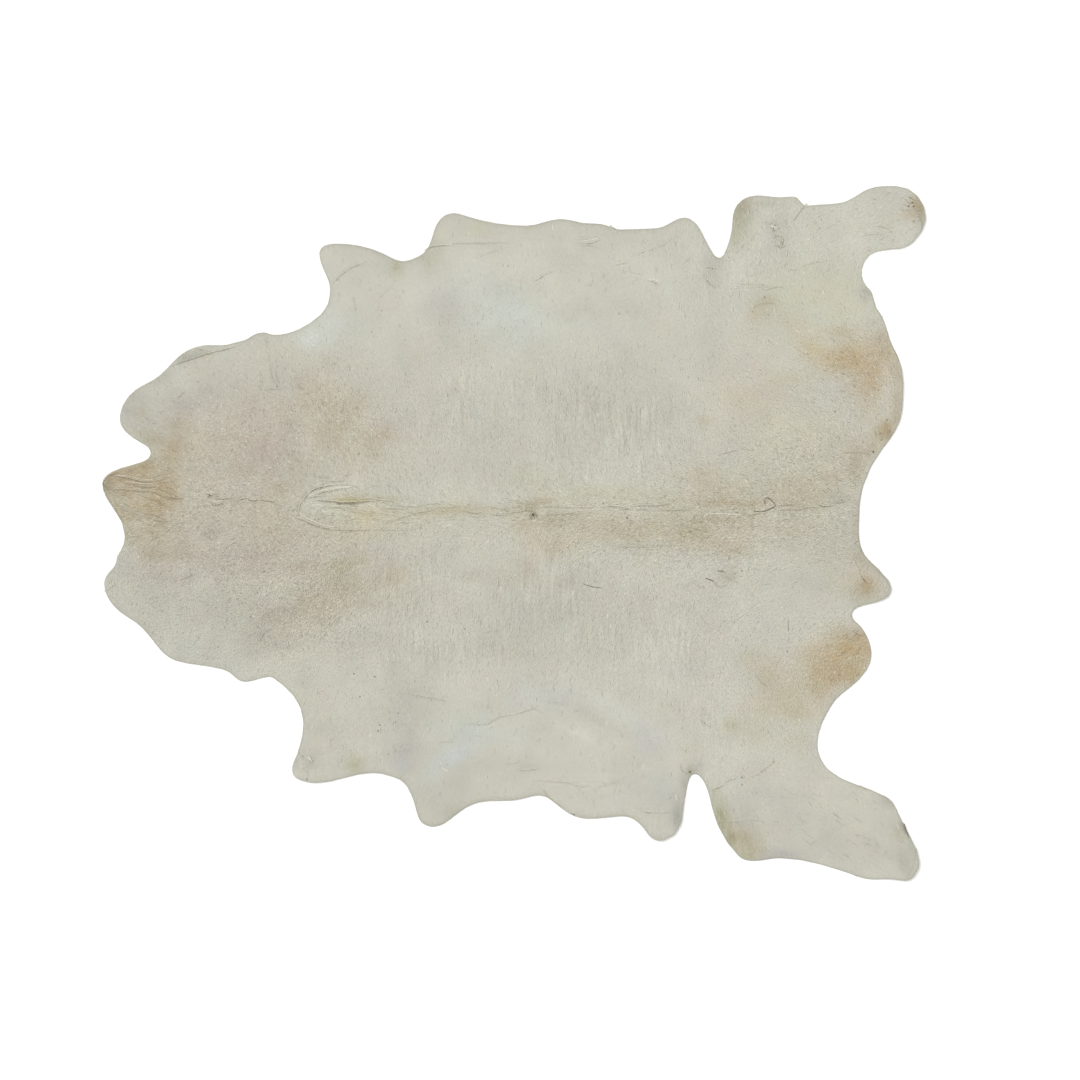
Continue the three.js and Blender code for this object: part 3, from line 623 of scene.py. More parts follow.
# rows without a turn lie along the spine
stainsAndPaintedLight = tableOf(("x", "y", "reach", "spread", "colour", "strength", "turn"), (
    # tail and rump
    (-605, 90, 430, 380, "#bfb4a0", 0.5),
    (-497, 347, 170, 105, "#bba98a", 0.31, -10),
    (-389, 252, 50, 40, "#b29d80", 0.3),
    (-268, 320, 110, 95, "#b3aca4", 0.35),
    (-578, 425, 40, 34, "#a9a49d", 0.4),
    (-875, 355, 110, 50, "#b0a9a5", 0.4, 15),
    (-754, 252, 170, 120, "#bbab98", 0.4),
    (-646, -39, 120, 60, "#b9ab9b", 0.22),
    (-538, -201, 200, 70, "#a89b7d", 0.42, 26),
    (-313, -112, 55, 42, "#b29b78", 0.25),
    (-681, -279, 60, 40, "#a09a93", 0.4),
    (-767, -228, 130, 90, "#b5b3a6", 0.42),
    (-475, -93, 45, 36, "#b3aa7c", 0.35),
    (-991, 120, 130, 118, "#b39b6a", 0.57),
    (-1080, 150, 40, 36, "#a5824a", 0.42),
    (-1099, 131, 18, 26, "#6f5f36", 0.6),
    (-929, 150, 56, 60, "#b3905a", 0.28),
    (-940, 231, 80, 40, "#b0935c", 0.14),
    (-978, 258, 50, 26, "#9c9264", 0.3, -15),
    (-997, 58, 60, 30, "#a68a54", 0.3),
    (-1051, -12, 40, 36, "#9a9072", 0.3),
    (-916, 293, 55, 32, "#a39a86", 0.3),
    (-970, -50, 55, 28, "#98805c", 0.33),
    (-889, -120, 55, 32, "#a9a098", 0.25),
    (-897, -50, 40, 36, "#93806c", 0.28),
    (-497, 252, 60, 36, "#a58f70", 0.24, -25),
    (-340, 271, 34, 30, "#b39068", 0.28),
    (-373, 212, 30, 22, "#a08f74", 0.26),
    (-913, 90, 32, 30, "#a57a48", 0.3),
    (-956, 417, 50, 22, "#a39f96", 0.35, 35),
    (-1053, 331, 22, 42, "#a2a3a0", 0.3),
    (-700, -320, 50, 28, "#a9a9aa", 0.25),
    (-681, 252, 90, 110, "#c0b2ac", 0.32),
    (-956, 1, 65, 48, "#a08c68", 0.5),
    (-1064, -99, 60, 50, "#a3a19c", 0.42),
    (-1037, 347, 70, 70, "#aea9a1", 0.4),
    (-1010, 317, 28, 28, "#b8a386", 0.2),
    # painted shade on the tucked lip of the left rump edge
    (-875, 479, 62, 16, "#a3a297", 0.56, 19),
    (-983, -180, 120, 100, "#bcb9ae", 0.35),
    (-835, -328, 140, 42, "#c4c5bf", 0.3, -22),
    (-826, -61, 130, 80, "#ac9d91", 0.16),
    (-727, 85, 50, 26, "#a89a8a", 0.3),
    (-829, -1, 44, 24, "#9c8f8a", 0.3),
    (-637, 123, 38, 28, "#a39468", 0.3),
    (-745, 126, 40, 22, "#a39c9c", 0.25),
    (-907, 252, 42, 52, "#a3895c", 0.28),
    (-573, 401, 40, 28, "#a8917c", 0.28),
    (-637, 428, 32, 60, "#aaa8a8", 0.25),
    (-592, -93, 80, 26, "#a3907e", 0.35),
    (-403, -288, 150, 60, "#b3afa4", 0.38),
    (-1010, 182, 80, 22, "#a5905f", 0.45, 15),
    (-1064, 58, 30, 55, "#a39468", 0.4),
    (-978, -99, 60, 36, "#a39a8c", 0.35),
    (-394, -196, 75, 22, "#a08a72", 0.3),
    (-651, -212, 50, 44, "#9a8a86", 0.32),
    (-475, 285, 50, 30, "#aa9a72", 0.22),
    (-411, -74, 36, 20, "#a9a070", 0.3),
    (-632, -306, 60, 22, "#a9a8a0", 0.3),
    (-324, -363, 34, 40, "#a5a298", 0.3),
    # spine and the back beside it
    (-540, 72, 60, 50, "#d9ddd0", 0.46),
    (-384, 50, 150, 70, "#d6d0b4", 0.46),
    (-470, 126, 90, 26, "#d9dac8", 0.4),
    (-438, 93, 44, 10, "#a8a468", 0.25),
    (-397, 53, 34, 22, "#ceb68f", 0.3),
    (-475, 55, 40, 22, "#dde2cc", 0.35),
    (-295, 58, 34, 18, "#dcdfd4", 0.3),
    (-340, 96, 110, 14, "#a8945c", 0.3),
    (677, 50, 34, 16, "#d5dcc4", 0.28),
    (-295, 112, 130, 55, "#d3d6ca", 0.4),
    (-173, 58, 240, 19, "#b4a982", 0.42),
    (43, 77, 45, 22, "#9a9063", 0.45),
    (92, 36, 75, 30, "#a69a72", 0.33),
    (97, -34, 85, 36, "#bfa988", 0.35),
    (340, 7, 330, 48, "#bba97c", 0.37),
    (232, 104, 200, 40, "#c5c0a0", 0.35),
    (43, 150, 70, 40, "#c0bb98", 0.3),
    (556, 128, 105, 48, "#b49e72", 0.25),
    (475, 50, 120, 80, "#b8ae8c", 0.2),
    (637, 69, 40, 26, "#9c9063", 0.3),
    (664, 15, 120, 30, "#ac9a80", 0.18),
    (569, 39, 100, 26, "#a3936a", 0.3),
    (173, 42, 95, 30, "#ab9c72", 0.25),
    (875, 90, 40, 26, "#8f897a", 0.4),
    (569, -34, 100, 34, "#bb9c68", 0.26),
    (515, 1, 42, 20, "#a89a78", 0.28),
    (772, 117, 170, 85, "#bfb293", 0.42),
    (869, 155, 60, 34, "#a99980", 0.32),
    (926, 171, 24, 60, "#9c9378", 0.42),
    (929, 23, 16, 70, "#989070", 0.4),
    (939, -66, 40, 22, "#8d8770", 0.4, -50),
    (812, -18, 170, 100, "#bab39c", 0.38),
    (578, -120, 40, 28, "#a9a18c", 0.38),
    (16, 20, 42, 22, "#a8906a", 0.3),
    (83, 90, 36, 14, "#a88a58", 0.3),
    (2, -126, 65, 24, "#b3a48c", 0.28),
    (135, -134, 42, 22, "#b09478", 0.26),
    (-119, -117, 70, 18, "#aaa48c", 0.3),
    (475, -139, 40, 14, "#a9a496", 0.2),
    (38, -85, 44, 36, "#9f8d74", 0.28),
    (510, 301, 30, 22, "#a58a62", 0.28),
    (372, -261, 36, 36, "#aaa493", 0.28),
    (-168, -31, 70, 50, "#b5b8b0", 0.3),
    (605, 85, 150, 17, "#ae956a", 0.34),
    (502, 163, 130, 26, "#bda782", 0.12),
    # left shoulder and foreleg
    (812, 630, 190, 140, "#d0ceb3", 0.5),
    (745, 563, 110, 34, "#bfae84", 0.18, -33),
    (826, 495, 80, 34, "#bda874", 0.3, -10),
    (942, 474, 80, 56, "#bb9a66", 0.52, -20),
    (885, 458, 95, 38, "#bfa573", 0.42, -8),
    (993, 533, 45, 40, "#a98a5e", 0.3),
    (875, 544, 60, 20, "#b49a66", 0.28),
    (929, 398, 55, 40, "#b3965f", 0.2),
    (1037, 366, 20, 62, "#a08a5a", 0.38),
    (1031, 436, 24, 60, "#a59468", 0.35),
    (972, 401, 40, 58, "#b58d52", 0.26),
    (1007, 495, 30, 42, "#a8924e", 0.3),
    (966, 425, 50, 30, "#bb9a50", 0.12),
    (745, 414, 60, 26, "#c9b482", 0.25),
    (529, 455, 44, 100, "#b5baae", 0.28),
    (991, 263, 56, 30, "#a0843f", 0.5, 61),
    (1010, 263, 16, 36, "#94753a", 0.36),
    (1031, 315, 14, 28, "#94753a", 0.26),
    (956, 347, 44, 60, "#b0935c", 0.22),
    (920, 220, 60, 50, "#bfa894", 0.32),
    (958, 215, 16, 26, "#8f8768", 0.3, -30),
    (677, 614, 42, 22, "#a29355", 0.46, 35),
    (656, 593, 30, 42, "#b49a62", 0.3),
    (637, 387, 150, 110, "#cfc2ae", 0.42),
    (758, 266, 220, 110, "#c9c1a7", 0.34),
    (613, 860, 40, 80, "#a0997a", 0.6),
    (596, 803, 18, 42, "#a5a674", 0.45),
    (1088, 887, 20, 32, "#a3823c", 0.5),
    (1099, 865, 17, 42, "#8d7a44", 0.4),
    (1069, 857, 26, 16, "#b8a07c", 0.35),
    (707, 803, 52, 66, "#aba6a2", 0.45),
    (551, 663, 46, 75, "#b1aea8", 0.36),
    # painted shade in the hollow of the left armpit
    (532, 703, 22, 30, "#9d9882", 0.4),
    (534, 733, 40, 26, "#a09c90", 0.4),
    (675, 890, 60, 10, "#a0977a", 0.35),
    (529, 571, 40, 50, "#b3b0a8", 0.35),
    (947, 652, 30, 38, "#a5a297", 0.5),
    (880, 806, 190, 110, "#d8d8c8", 0.48),
    # right shoulder, cheek and foreleg
    (891, -320, 84, 76, "#b8954f", 0.58, 20),
    (923, -282, 46, 34, "#a8894c", 0.32),
    (799, -342, 54, 40, "#ab8a54", 0.28),
    (885, -385, 46, 36, "#ae8a4a", 0.32, 40),
    (939, -320, 40, 60, "#b79a66", 0.35),
    (923, -385, 40, 44, "#b39a58", 0.36),
    (831, -390, 70, 48, "#ae9258", 0.38, 25),
    (745, -439, 140, 76, "#bca676", 0.3, 15),
    (677, -363, 60, 45, "#bb9f70", 0.25),
    (764, -487, 60, 30, "#b0a070", 0.25),
    (675, -385, 44, 32, "#b09a68", 0.26),
    (642, -328, 42, 30, "#beac7d", 0.3),
    (653, -547, 50, 34, "#b5a97c", 0.2),
    (588, -522, 32, 22, "#a89d74", 0.32),
    (769, -563, 55, 42, "#b3a97e", 0.2),
    (950, -136, 30, 26, "#b28c52", 0.55),
    (934, -126, 85, 66, "#baa88b", 0.36),
    (934, -161, 60, 28, "#a39c7f", 0.42),
    (985, -101, 34, 16, "#8d8770", 0.42, -48),
    (785, -134, 75, 48, "#b3b1a7", 0.38),
    (340, -193, 60, 40, "#b8aca0", 0.3),
    (607, -836, 66, 62, "#a08e5a", 0.62),
    (587, -822, 16, 28, "#857442", 0.48),
    (623, -752, 50, 90, "#a6a8a4", 0.3),
    (561, -765, 26, 54, "#949058", 0.48),
    (642, -868, 50, 20, "#a9a36f", 0.45),
    (704, -871, 80, 22, "#a09ca0", 0.45),
    (545, -714, 22, 40, "#a8a77e", 0.4),
    (475, -641, 13, 12, "#6a6238", 0.7),
    (497, -625, 26, 22, "#8f8b82", 0.45),
    (461, -676, 20, 40, "#77736a", 0.42),
    (440, -760, 22, 50, "#77736a", 0.42),
    (399, -709, 50, 80, "#a9adb0", 0.34),
    (1061, -803, 26, 10, "#2f2a14", 0.9, -63),
    (1045, -811, 30, 36, "#a3987f", 0.4),
    (1055, -887, 26, 50, "#8f8e80", 0.35),
    (1072, -849, 14, 30, "#8a866c", 0.35, 20),
    (1010, -722, 34, 22, "#9b9a88", 0.35, -30),
    (772, -814, 170, 70, "#b3afa4", 0.2, -25),
    # left belly
    (-316, 711, 34, 30, "#a39c6e", 0.32, 30),
    # right foreleg
    (999, -849, 75, 50, "#a9a69e", 0.34, -40),
    (669, -706, 80, 50, "#b9b9b4", 0.3),
    # cool, grey and pale places of the flanks and the belly
    # painted sheen: a cool pale patch where the lying hair catches the light
    (-6, 587, 150, 110, "#dadfd6", 0.62, -30),
    (-173, 671, 150, 110, "#d0d2cb", 0.3),
    # painted sheen on this row and the next, where the lying hair catches the light
    (-497, 563, 110, 70, "#d6dbd3", 0.5),
    (-546, 522, 55, 30, "#dde0d8", 0.5),
    # painted sheen along a cool pale band
    (-176, -614, 100, 36, "#d5dcdb", 0.68, 33),
    (-106, -536, 150, 50, "#c8d2cd", 0.44),
    (70, -436, 170, 60, "#d0d2d2", 0.25),
    # the next three rows are painted light over the long fold of the right flank: two pale bands of painted
    # highlight and a dark band of painted shade
    (291, -490, 95, 34, "#d6d8d3", 0.4, -28),
    (200, -552, 110, 22, "#dad9ce", 0.36, -28),
    (191, -482, 120, 18, "#b4b3aa", 0.3, -28),
    (367, -563, 80, 40, "#d1d0cf", 0.35),
    (-281, -482, 75, 120, "#b4b0aa", 0.54),
    (-200, 603, 60, 70, "#b9b6b2", 0.38),
    (164, 355, 250, 160, "#bcbaad", 0.42),
    (-38, 279, 240, 120, "#c0beb2", 0.34),
    (70, -220, 320, 110, "#bab8ac", 0.45),
    (-214, 744, 42, 52, "#b2ab88", 0.45),
    (-100, 825, 50, 20, "#c0bf9c", 0.35),
    (-319, 722, 22, 26, "#b3ad8e", 0.36),
    (-430, -625, 32, 34, "#a9a070", 0.5),
    (-529, -533, 60, 24, "#aaa79e", 0.34),
    (-554, -606, 40, 36, "#a9a698", 0.3),
    (340, 698, 420, 130, "#d4d2c4", 0.5),
    (232, -639, 400, 100, "#d4d2c6", 0.35),
    (-38, -320, 300, 42, "#b9b6aa", 0.3),
    (448, -374, 90, 40, "#b5b6b6", 0.3),
    (189, 560, 60, 40, "#d4dade", 0.14),
    (-308, -617, 40, 42, "#a9abae", 0.36),
    (38, -630, 72, 36, "#b8bbad", 0.4),
    (-160, -747, 40, 22, "#b5b090", 0.3),
))
wobbleFields = [noiseField(shade["wobbleSize"], seed) for seed in shade["wobbleSeeds"]]
patchFields = [(share, noiseField(size, seed)) for size, share, seed in shade["patchy"]]
mottleFields = [(np.array(depth), noiseField(size, seed)) for size, depth, seed in shade["mottle"]]


def coatColour(x, y, uptake):
    # uptake, one number a lock, spreads each stain unevenly over its neighbours
    nearRim = 1 - smoothstep(0, shade["floorReach"], readField(rimField, x, y))
    colour = mixed(linear(shade["cream"]), shade["floorTint"], (shade["floorShare"] * nearRim)[:, None])
    wanderX, wanderY = (shade["wobble"] * readField(field, x, y) for field in wobbleFields)
    patchy = 1 + sum(share * readField(field, x, y) for share, field in patchFields)
    taken = patchy.clip(*shade["patchyLimits"]) * (1 + shade["speckle"] * uptake)
    for row in stainsAndPaintedLight:
        turn = math.radians(row.get("turn", 0))
        steady = min(1, min(row["reach"], row["spread"]) / shade["wobbleFrom"])
        far = shade["fadeOut"] * max(row["reach"], row["spread"]) + shade["wobbleMost"] * shade["wobble"]
        near = np.flatnonzero((abs(x - row["x"]) < far) & (abs(y - row["y"]) < far))
        offX, offY = (x + steady * wanderX)[near] - row["x"], (y + steady * wanderY)[near] - row["y"]
        along = (offX * math.cos(turn) + offY * math.sin(turn)) / row["reach"]
        across = (offY * math.cos(turn) - offX * math.sin(turn)) / row["spread"]
        fall = np.exp(-shade["fall"] * (along ** 2 + across ** 2))
        share = (row["strength"] * fall * taken[near]).clip(0, shade["mostShare"])
        colour[near] = mixed(colour[near], row["colour"], share[:, None])
    mottle = 1 + sum(depth * readField(field, x, y)[:, None] for depth, field in mottleFields)
    return colour * shade["reflected"] * mottle


# How the hair lies: towards the tail along the spine, out over the flanks, down the legs
flow = {
    "spineY": 58.0,
    "spineReach": 45.0,
    "spineRelief": 0.7,  # the hair stands rougher along the spine
    "tailward": 0.04,    # lean of the flank hair towards the tail
    "swirlSize": 70.0,
    "swirl": 4.0,        # degrees by which whole tufts turn aside
    "seed": 31,
    "wander": 9.0,       # degrees between neighbouring locks
    "length": 19.0,
    "relief": 0.46,      # how far the locks stand apart; sleek hair has less
    "pull": 5.0,         # strength of the places below against the rule above
    "calm": 0.72,        # the stray hairs below make up the rest of the roughness
}
flowPlaces = tableOf(("x", "y", "heading", "reach", "wander", "length", "relief"), (
    # tail and rump
    (-1010, 115, 180, 90, 24, 11, 1.6),
    (-799, 90, 180, 110, 40, 11, 1.6),
    (-767, 252, 150, 130, 65, 9, 1.25),
    (-484, 320, 120, 120, 50, 10, 1.4),
    (-651, 20, 190, 130, 65, 9, 1.4),
    (-578, -193, -130, 115, 50, 10, 1.5),
    (-799, -80, -160, 110, 60, 9, 1.35),
    (-961, 331, 150, 110, 45, 10, 0.65),
    (-862, 468, 120, 90, 30, 11, 0.5),
    (-902, -158, -150, 90, 45, 10, 0.75),
    (-821, -269, -130, 100, 30, 10, 0.45),
    (-640, -342, -115, 110, 20, 12, 0.5),
    (-600, 468, 110, 110, 20, 12, 0.5),
    # flanks
    (218, 333, 90, 110, 4, 30, 0.54),
    (70, -234, -90, 150, 5, 26, 0.4),
    (-254, -193, -90, 90, 6, 24, 0.5),
    (-160, 333, 92, 140, 9, 20, 0.42),
    (-160, -288, -92, 80, 9, 20, 0.45),
    (421, -315, -90, 140, 9, 20, 0.5),
    (340, -126, -95, 80, 9, 20, 0.5),
    # belly and hind points
    (-451, 641, 105, 120, 14, 17, 0.15),
    (-481, -531, -105, 130, 14, 17, 0.3),
    (-119, 620, 95, 180, 10, 20, 0.08),
    (200, 649, 92, 180, 10, 20, 0.08),
    (429, 641, 88, 150, 10, 20, 0.25),
    (-200, -571, -95, 170, 10, 20, 0.12),
    (100, -571, -92, 170, 10, 20, 0.08),
    (359, -585, -88, 150, 10, 20, 0.1),
    # shoulders and forelegs
    (699, 779, 70, 110, 14, 15, 0.5),
    (899, 833, 5, 120, 12, 14, 0.36),
    (1050, 849, 0, 80, 12, 13, 0.65),
    (661, -701, -65, 110, 14, 15, 0.4),
    (821, -790, -30, 120, 12, 14, 0.3),
    (999, -860, -30, 100, 12, 13, 0.26),
    (699, 420, 150, 150, 24, 14, 0.5),
    (910, 460, 160, 90, 30, 12, 1.4),
    (829, 641, 120, 120, 20, 14, 0.42),
    (880, -328, -150, 80, 40, 11, 1.3),
    (637, -288, -120, 140, 20, 16, 0.55),
    (758, -479, -80, 120, 20, 15, 0.5),
    # neck and the spine behind it
    (791, 171, 175, 110, 35, 12, 1.5),
    (880, 63, 180, 110, 25, 13, 1.0),
    (699, 42, 180, 120, 30, 13, 1.5),
    (475, 42, 180, 100, 40, 11, 1.5),
    (205, 12, 180, 72, 25, 12, 1.1),
    (353, 12, 180, 76, 30, 12, 1.15),
    # sleek places between all these
    (745, -112, -150, 95, 20, 15, 0.15),
    (704, -652, -65, 80, 12, 15, 0.12),
    (434, 495, 88, 90, 12, 18, 0.15),
    (394, -396, -90, 80, 10, 20, 0.2),
    (-106, 158, 100, 60, 12, 18, 0.25),
    (-106, -112, -100, 60, 12, 18, 0.25),
    (-140, 23, 180, 60, 20, 14, 0.6),
    (-376, 436, 108, 80, 18, 14, 0.2),
    (-740, 442, 125, 90, 25, 11, 0.4),
    (-511, -380, -110, 75, 18, 14, 0.12),
))
swirlField = noiseField(flow["swirlSize"], flow["seed"])
# long streaks where the flank hair lies combed straight out from the spine
comb = {
    "across": 1.3,
    "along": 12.0,
    "depth": 0.037,
    "seed": 61,
    "patchSize": 60.0,
    "patchy": 0.6,
    "patchSeed": 62,
    "outward": 6,        # how closely the hair has to point away from the spine
    "wanderFade": (8, 18),  # the streaks fade out where neighbouring locks part by these degrees
    "reliefFade": (0.1, 0.3),  # and fade in as the hair gets rougher
}
combXs, combYs = gridOf(comb["across"])[0], gridOf(comb["along"])[1]
combNoise = np.random.default_rng(comb["seed"]).standard_normal((len(combYs), len(combXs)))
combNoise = blurred(combNoise, form["noiseBlur"])
combField = combXs, combYs, combNoise / combNoise.std()
combPatches = noiseField(comb["patchSize"], comb["patchSeed"])


def flowAt(x, y):
    side = y - flow["spineY"]
    spine = np.exp(-(side / flow["spineReach"]) ** 2)
    alongX, alongY = -(flow["tailward"] + spine), np.sign(side) * (1 - spine)
    size = np.hypot(alongX, alongY)
    alongX, alongY = alongX / size, alongY / size
    total, wander, length = 1.0, flow["wander"], flow["length"]
    relief = flow["relief"] + flow["spineRelief"] * spine
    for row in flowPlaces:
        near = flow["pull"] * np.exp(-((x - row["x"]) ** 2 + (y - row["y"]) ** 2) / row["reach"] ** 2)
        alongX = alongX + near * math.cos(math.radians(row["heading"]))
        alongY = alongY + near * math.sin(math.radians(row["heading"]))
        total = total + near
        wander = wander + near * row["wander"]
        length = length + near * row["length"]
        relief = relief + near * row["relief"]
    heading = np.arctan2(alongY, alongX) + np.radians(flow["swirl"]) * readField(swirlField, x, y)
    return heading, wander / total, length / total, flow["calm"] * relief / total


def combedAt(x, y):
    heading, wander, _, relief = flowAt(x, y)
    steady, rough = 1 - smoothstep(*comb["wanderFade"], wander), smoothstep(*comb["reliefFade"], relief)
    straight = np.sin(heading) ** comb["outward"] * steady * rough
    patchy = (1 + comb["patchy"] * readField(combPatches, x, y)).clip(0)
    return 1 + comb["depth"] * straight * patchy * readField(combField, x, y)


# Locks of lying hair, each a closed sliver that is pointed at both ends and ridged along its back
coat = {
    "spacing": 4.15,
    "jitter": 0.32,
    "width": 3.3,        # many single hairs of 0.1 mm lie together in a lock
    "widthSpread": 0.22,
    "lengthSpread": 0.2,
    "spreadLimits": (-1.5, 2),
    "widest": 0.42,      # share of the length at which a lock is widest
    "rises": (0.3, 0.45, 0.45, 1.55),  # heights of root, sides and tip over the leather
    "liftSpread": 0.3,
    "liftLimits": (-2, 2),
    "ridge": 0.22,       # the ridge stands at least this far over the sides
    "rimDroop": 9.0,     # the hair thins out towards the edge over this distance, to this share
    "rimThin": 0.25,
    "rimClear": 2.5,     # no lock is rooted nearer to the edge
    "rimGap": 0.4,
    "leastLength": 0.15,  # shares of its size that a lock cut short at the edge keeps
    "leastWidth": 0.3,
    "rimSpacing": 2.6,   # a last row of locks lies over the cut edge
    "rimLength": 11.0,
    "rimLengthRange": (0.8, 1.2),
    "rimLean": (0.8, 0.5),  # how far they point outward and how far along the coat's lie
    "rimWander": 0.12,
    "rimRagged": 0.8,
    "shadeSpread": 0.035,
    "rootShade": 0.9,
    "tipShade": 1.04,
    "sleekShade": 0.13,  # sleek hair has no gaps to darken it, so its own tone is this much deeper
    # painted shade for the middles of the creases
    "creaseShadeTone": "#7f775a",
    "creaseShadeShare": 0.4,  # how much of a crease's painted shade the locks beside its middle take
    "rimEdgeAndShadeTone": "#8a8873",
    "rimShades": ((4.0, 0.4), (13.0, 0.07)),  # reach and share of the darker hair along the cut edge: partly its darker cut ends, partly painted edge shade
    "flecks": ((5800, "#5c5240", 0.7), (3400, "#f3efe2", 0.55)),  # count, tone and most share of odd locks
    "fleckLeast": 0.15,
    "fleckEnds": (0, 0.3, 0.3, 1),  # what root, sides and tip take of it
    "strandPlaces": 400,  # each lock takes its strands from its own place in the grain
    # each piece of the coat, and where along the spine it ends
    "regions": (("coat_rump", -500.0), ("coat_hip", -110.0), ("coat_loin", 270.0),
                ("coat_ribs", 660.0), ("coat_shoulder", 2000.0)),
}


def lockPoints(root, heading, length, width, lift, rises, bridge):
    # root, left side, right side and tip of every lock, on the leather's folds; bridge spans the creases
    ahead = toward(heading)
    aside = leftOf(ahead) * width[:, None] / 2
    middle = root + ahead * (length * coat["widest"])[:, None]
    spots = [root, middle + aside, middle - aside, root + ahead * length[:, None]]
    heights = []
    for (x, y), rise in zip((spot.T for spot in spots), rises):
        inner = smoothstep(0, coat["rimDroop"], readField(rimField, x, y))
        thin = coat["rimThin"] + (1 - coat["rimThin"]) * inner
        trough = bridge * readField(dropField, x, y).clip(0)
        heights.append(skinAt(x, y) + trough + rise * thin * lift)
    crest = heights[0] * (1 - coat["widest"]) + heights[3] * coat["widest"] - coat["ridge"] * lift
    heights[1], heights[2] = np.minimum(heights[1], crest), np.minimum(heights[2], crest)
    return np.stack([np.column_stack([spot, height]) for spot, height in zip(spots, heights)], axis=1)


def coatLocks():
    root = hexPoints(coat["spacing"], coat["jitter"])
    inward = readField(rimField, *root.T)
    clear = inward > coat["rimClear"]
    root, inward = root[clear], inward[clear]
    heading, wander, length, relief = flowAt(*root.T)
    heading = heading + np.radians(wander) * rng.standard_normal(len(root))
    longer, wider = (rng.standard_normal(len(root)).clip(*coat["spreadLimits"]) for _ in range(2))
    length = length * (1 + coat["lengthSpread"] * longer)
    width = coat["width"] * (1 + coat["widthSpread"] * wider)
    lift = relief * (1 + coat["liftSpread"] * rng.standard_normal(len(root)).clip(*coat["liftLimits"]))
    tip = root + toward(heading) * length[:, None]
    outward = readField(rimField, *tip.T) - coat["rimGap"]
    room = np.where(outward < 0, (inward - coat["rimGap"]) / (inward - coat["rimGap"] - outward), 1)
    length = length * room.clip(coat["leastLength"], 1)
    return root, heading, length, width * np.sqrt(room.clip(coat["leastWidth"], 1)), lift, relief


def rimLocks():
    edge = evenLoop(fineRim, coat["rimSpacing"])
    lie, _, _, relief = flowAt(*edge.T)
    outward, along = coat["rimLean"]
    lean = -inwardOf(edge) * outward + toward(lie) * along
    heading = np.arctan2(lean[:, 1], lean[:, 0]) + coat["rimWander"] * rng.standard_normal(len(edge))
    length = coat["rimLength"] * rng.uniform(*coat["rimLengthRange"], len(edge))
    reach = length + coat["rimGap"] + rng.uniform(0, coat["rimRagged"], len(edge))
    root = edge - toward(heading) * reach[:, None]
    return root, heading, length, np.full(len(edge), coat["width"]), relief, relief


def lockColours(locks, uptake, brightness, relief):
    x, y = locks[:, :, 0].ravel(), locks[:, :, 1].ravel()
    uptake, brightness, relief = (np.repeat(value, locks.shape[1]) for value in (uptake, brightness, relief))
    colour = coatColour(x, y, uptake)
    ends = np.tile([coat["rootShade"], 1, 1, coat["tipShade"]], len(locks)) - 1
    sleek = 1 - coat["sleekShade"] * (1 - relief)
    colour = colour * ((sleek + relief * (ends + (brightness - 1))) * combedAt(x, y))[:, None]
    # painted shade in the creases
    inCrease = coat["creaseShadeShare"] * readField(creaseShadeField, x, y)[:, None]
    colour = mixed(colour, coat["creaseShadeTone"], inCrease)
    # the cut edge's darker ends, with painted edge shade
    inward = readField(rimField, x, y)
    rimEdgeAndShade = sum(share * (1 - smoothstep(0, reach, inward)) for reach, share in coat["rimShades"])
    return mixed(colour, coat["rimEdgeAndShadeTone"], rimEdgeAndShade[:, None])


roots, headings, lengths, widths, lifts, relief = map(np.concatenate, zip(coatLocks(), rimLocks()))
locks = lockPoints(roots, headings, lengths, widths, lifts, coat["rises"], 0.0)
uptake = rng.standard_normal(len(locks)).clip(-shade["speckleMost"], shade["speckleMost"])
brightness = 1 + coat["shadeSpread"] * rng.standard_normal(len(locks))
lockColour = lockColours(locks, uptake, brightness, relief).reshape(-1, 4, 3)
for count, tone, most in coat["flecks"]:
    odd = rng.choice(len(locks), count, replace=False, p=relief ** 2 / np.sum(relief ** 2))
    share = rng.uniform(coat["fleckLeast"], most, (count, 1)) * np.array(coat["fleckEnds"])
    lockColour[odd] = mixed(lockColour[odd], tone, share[..., None])
print("locks of hair:", len(locks))

# Hairs laid on the coat: along the creases, loose and stray ones, specks, scratches and the cut edge's line,
# partly the edge's own darker tone and partly painted edge shade
thread = {
    "step": 6.0,
    "length": 12.0,
    "lengths": (0.8, 1.2),  # this, lifts and shares: the ranges in which single hairs differ
    "width": 1.8,
    "wideFrom": 4,       # creases wider than this have wider hairs
    "sway": 6.0,
    "rises": (1.95, 1.75, 1.75, 2.05),  # they lie on top of the coat
    "leastLift": 0.3,
    "lifts": (0.95, 1.1),
    "shares": (0.65, 1.1),
    "mostShare": 0.95,
    "endFade": -0.12,    # below 0, so a line still shows at its ends
    "laidTaper": 0.04,   # loose hairs fade out over this share of their length
    "highlightAway": 1.9,     # painted highlight: a pale line follows each crease this far up the slope
    "highlightTone": "#f4f1e6",
    "highlightShare": 0.55,
    "looseTone": "#4a4231",
    "rimEdgeAndShadeTone": "#6b6656",
    "rimInset": 1.2,
    "rimLength": 10.0,
    "rimShare": 0.27,
    "rimPatch": 90.0,    # size and depth of the places where the line is stronger or weaker
    "rimPatchy": 0.5,
    "rimSeed": 51,
}
laidColumns = ("path", "width", "share")
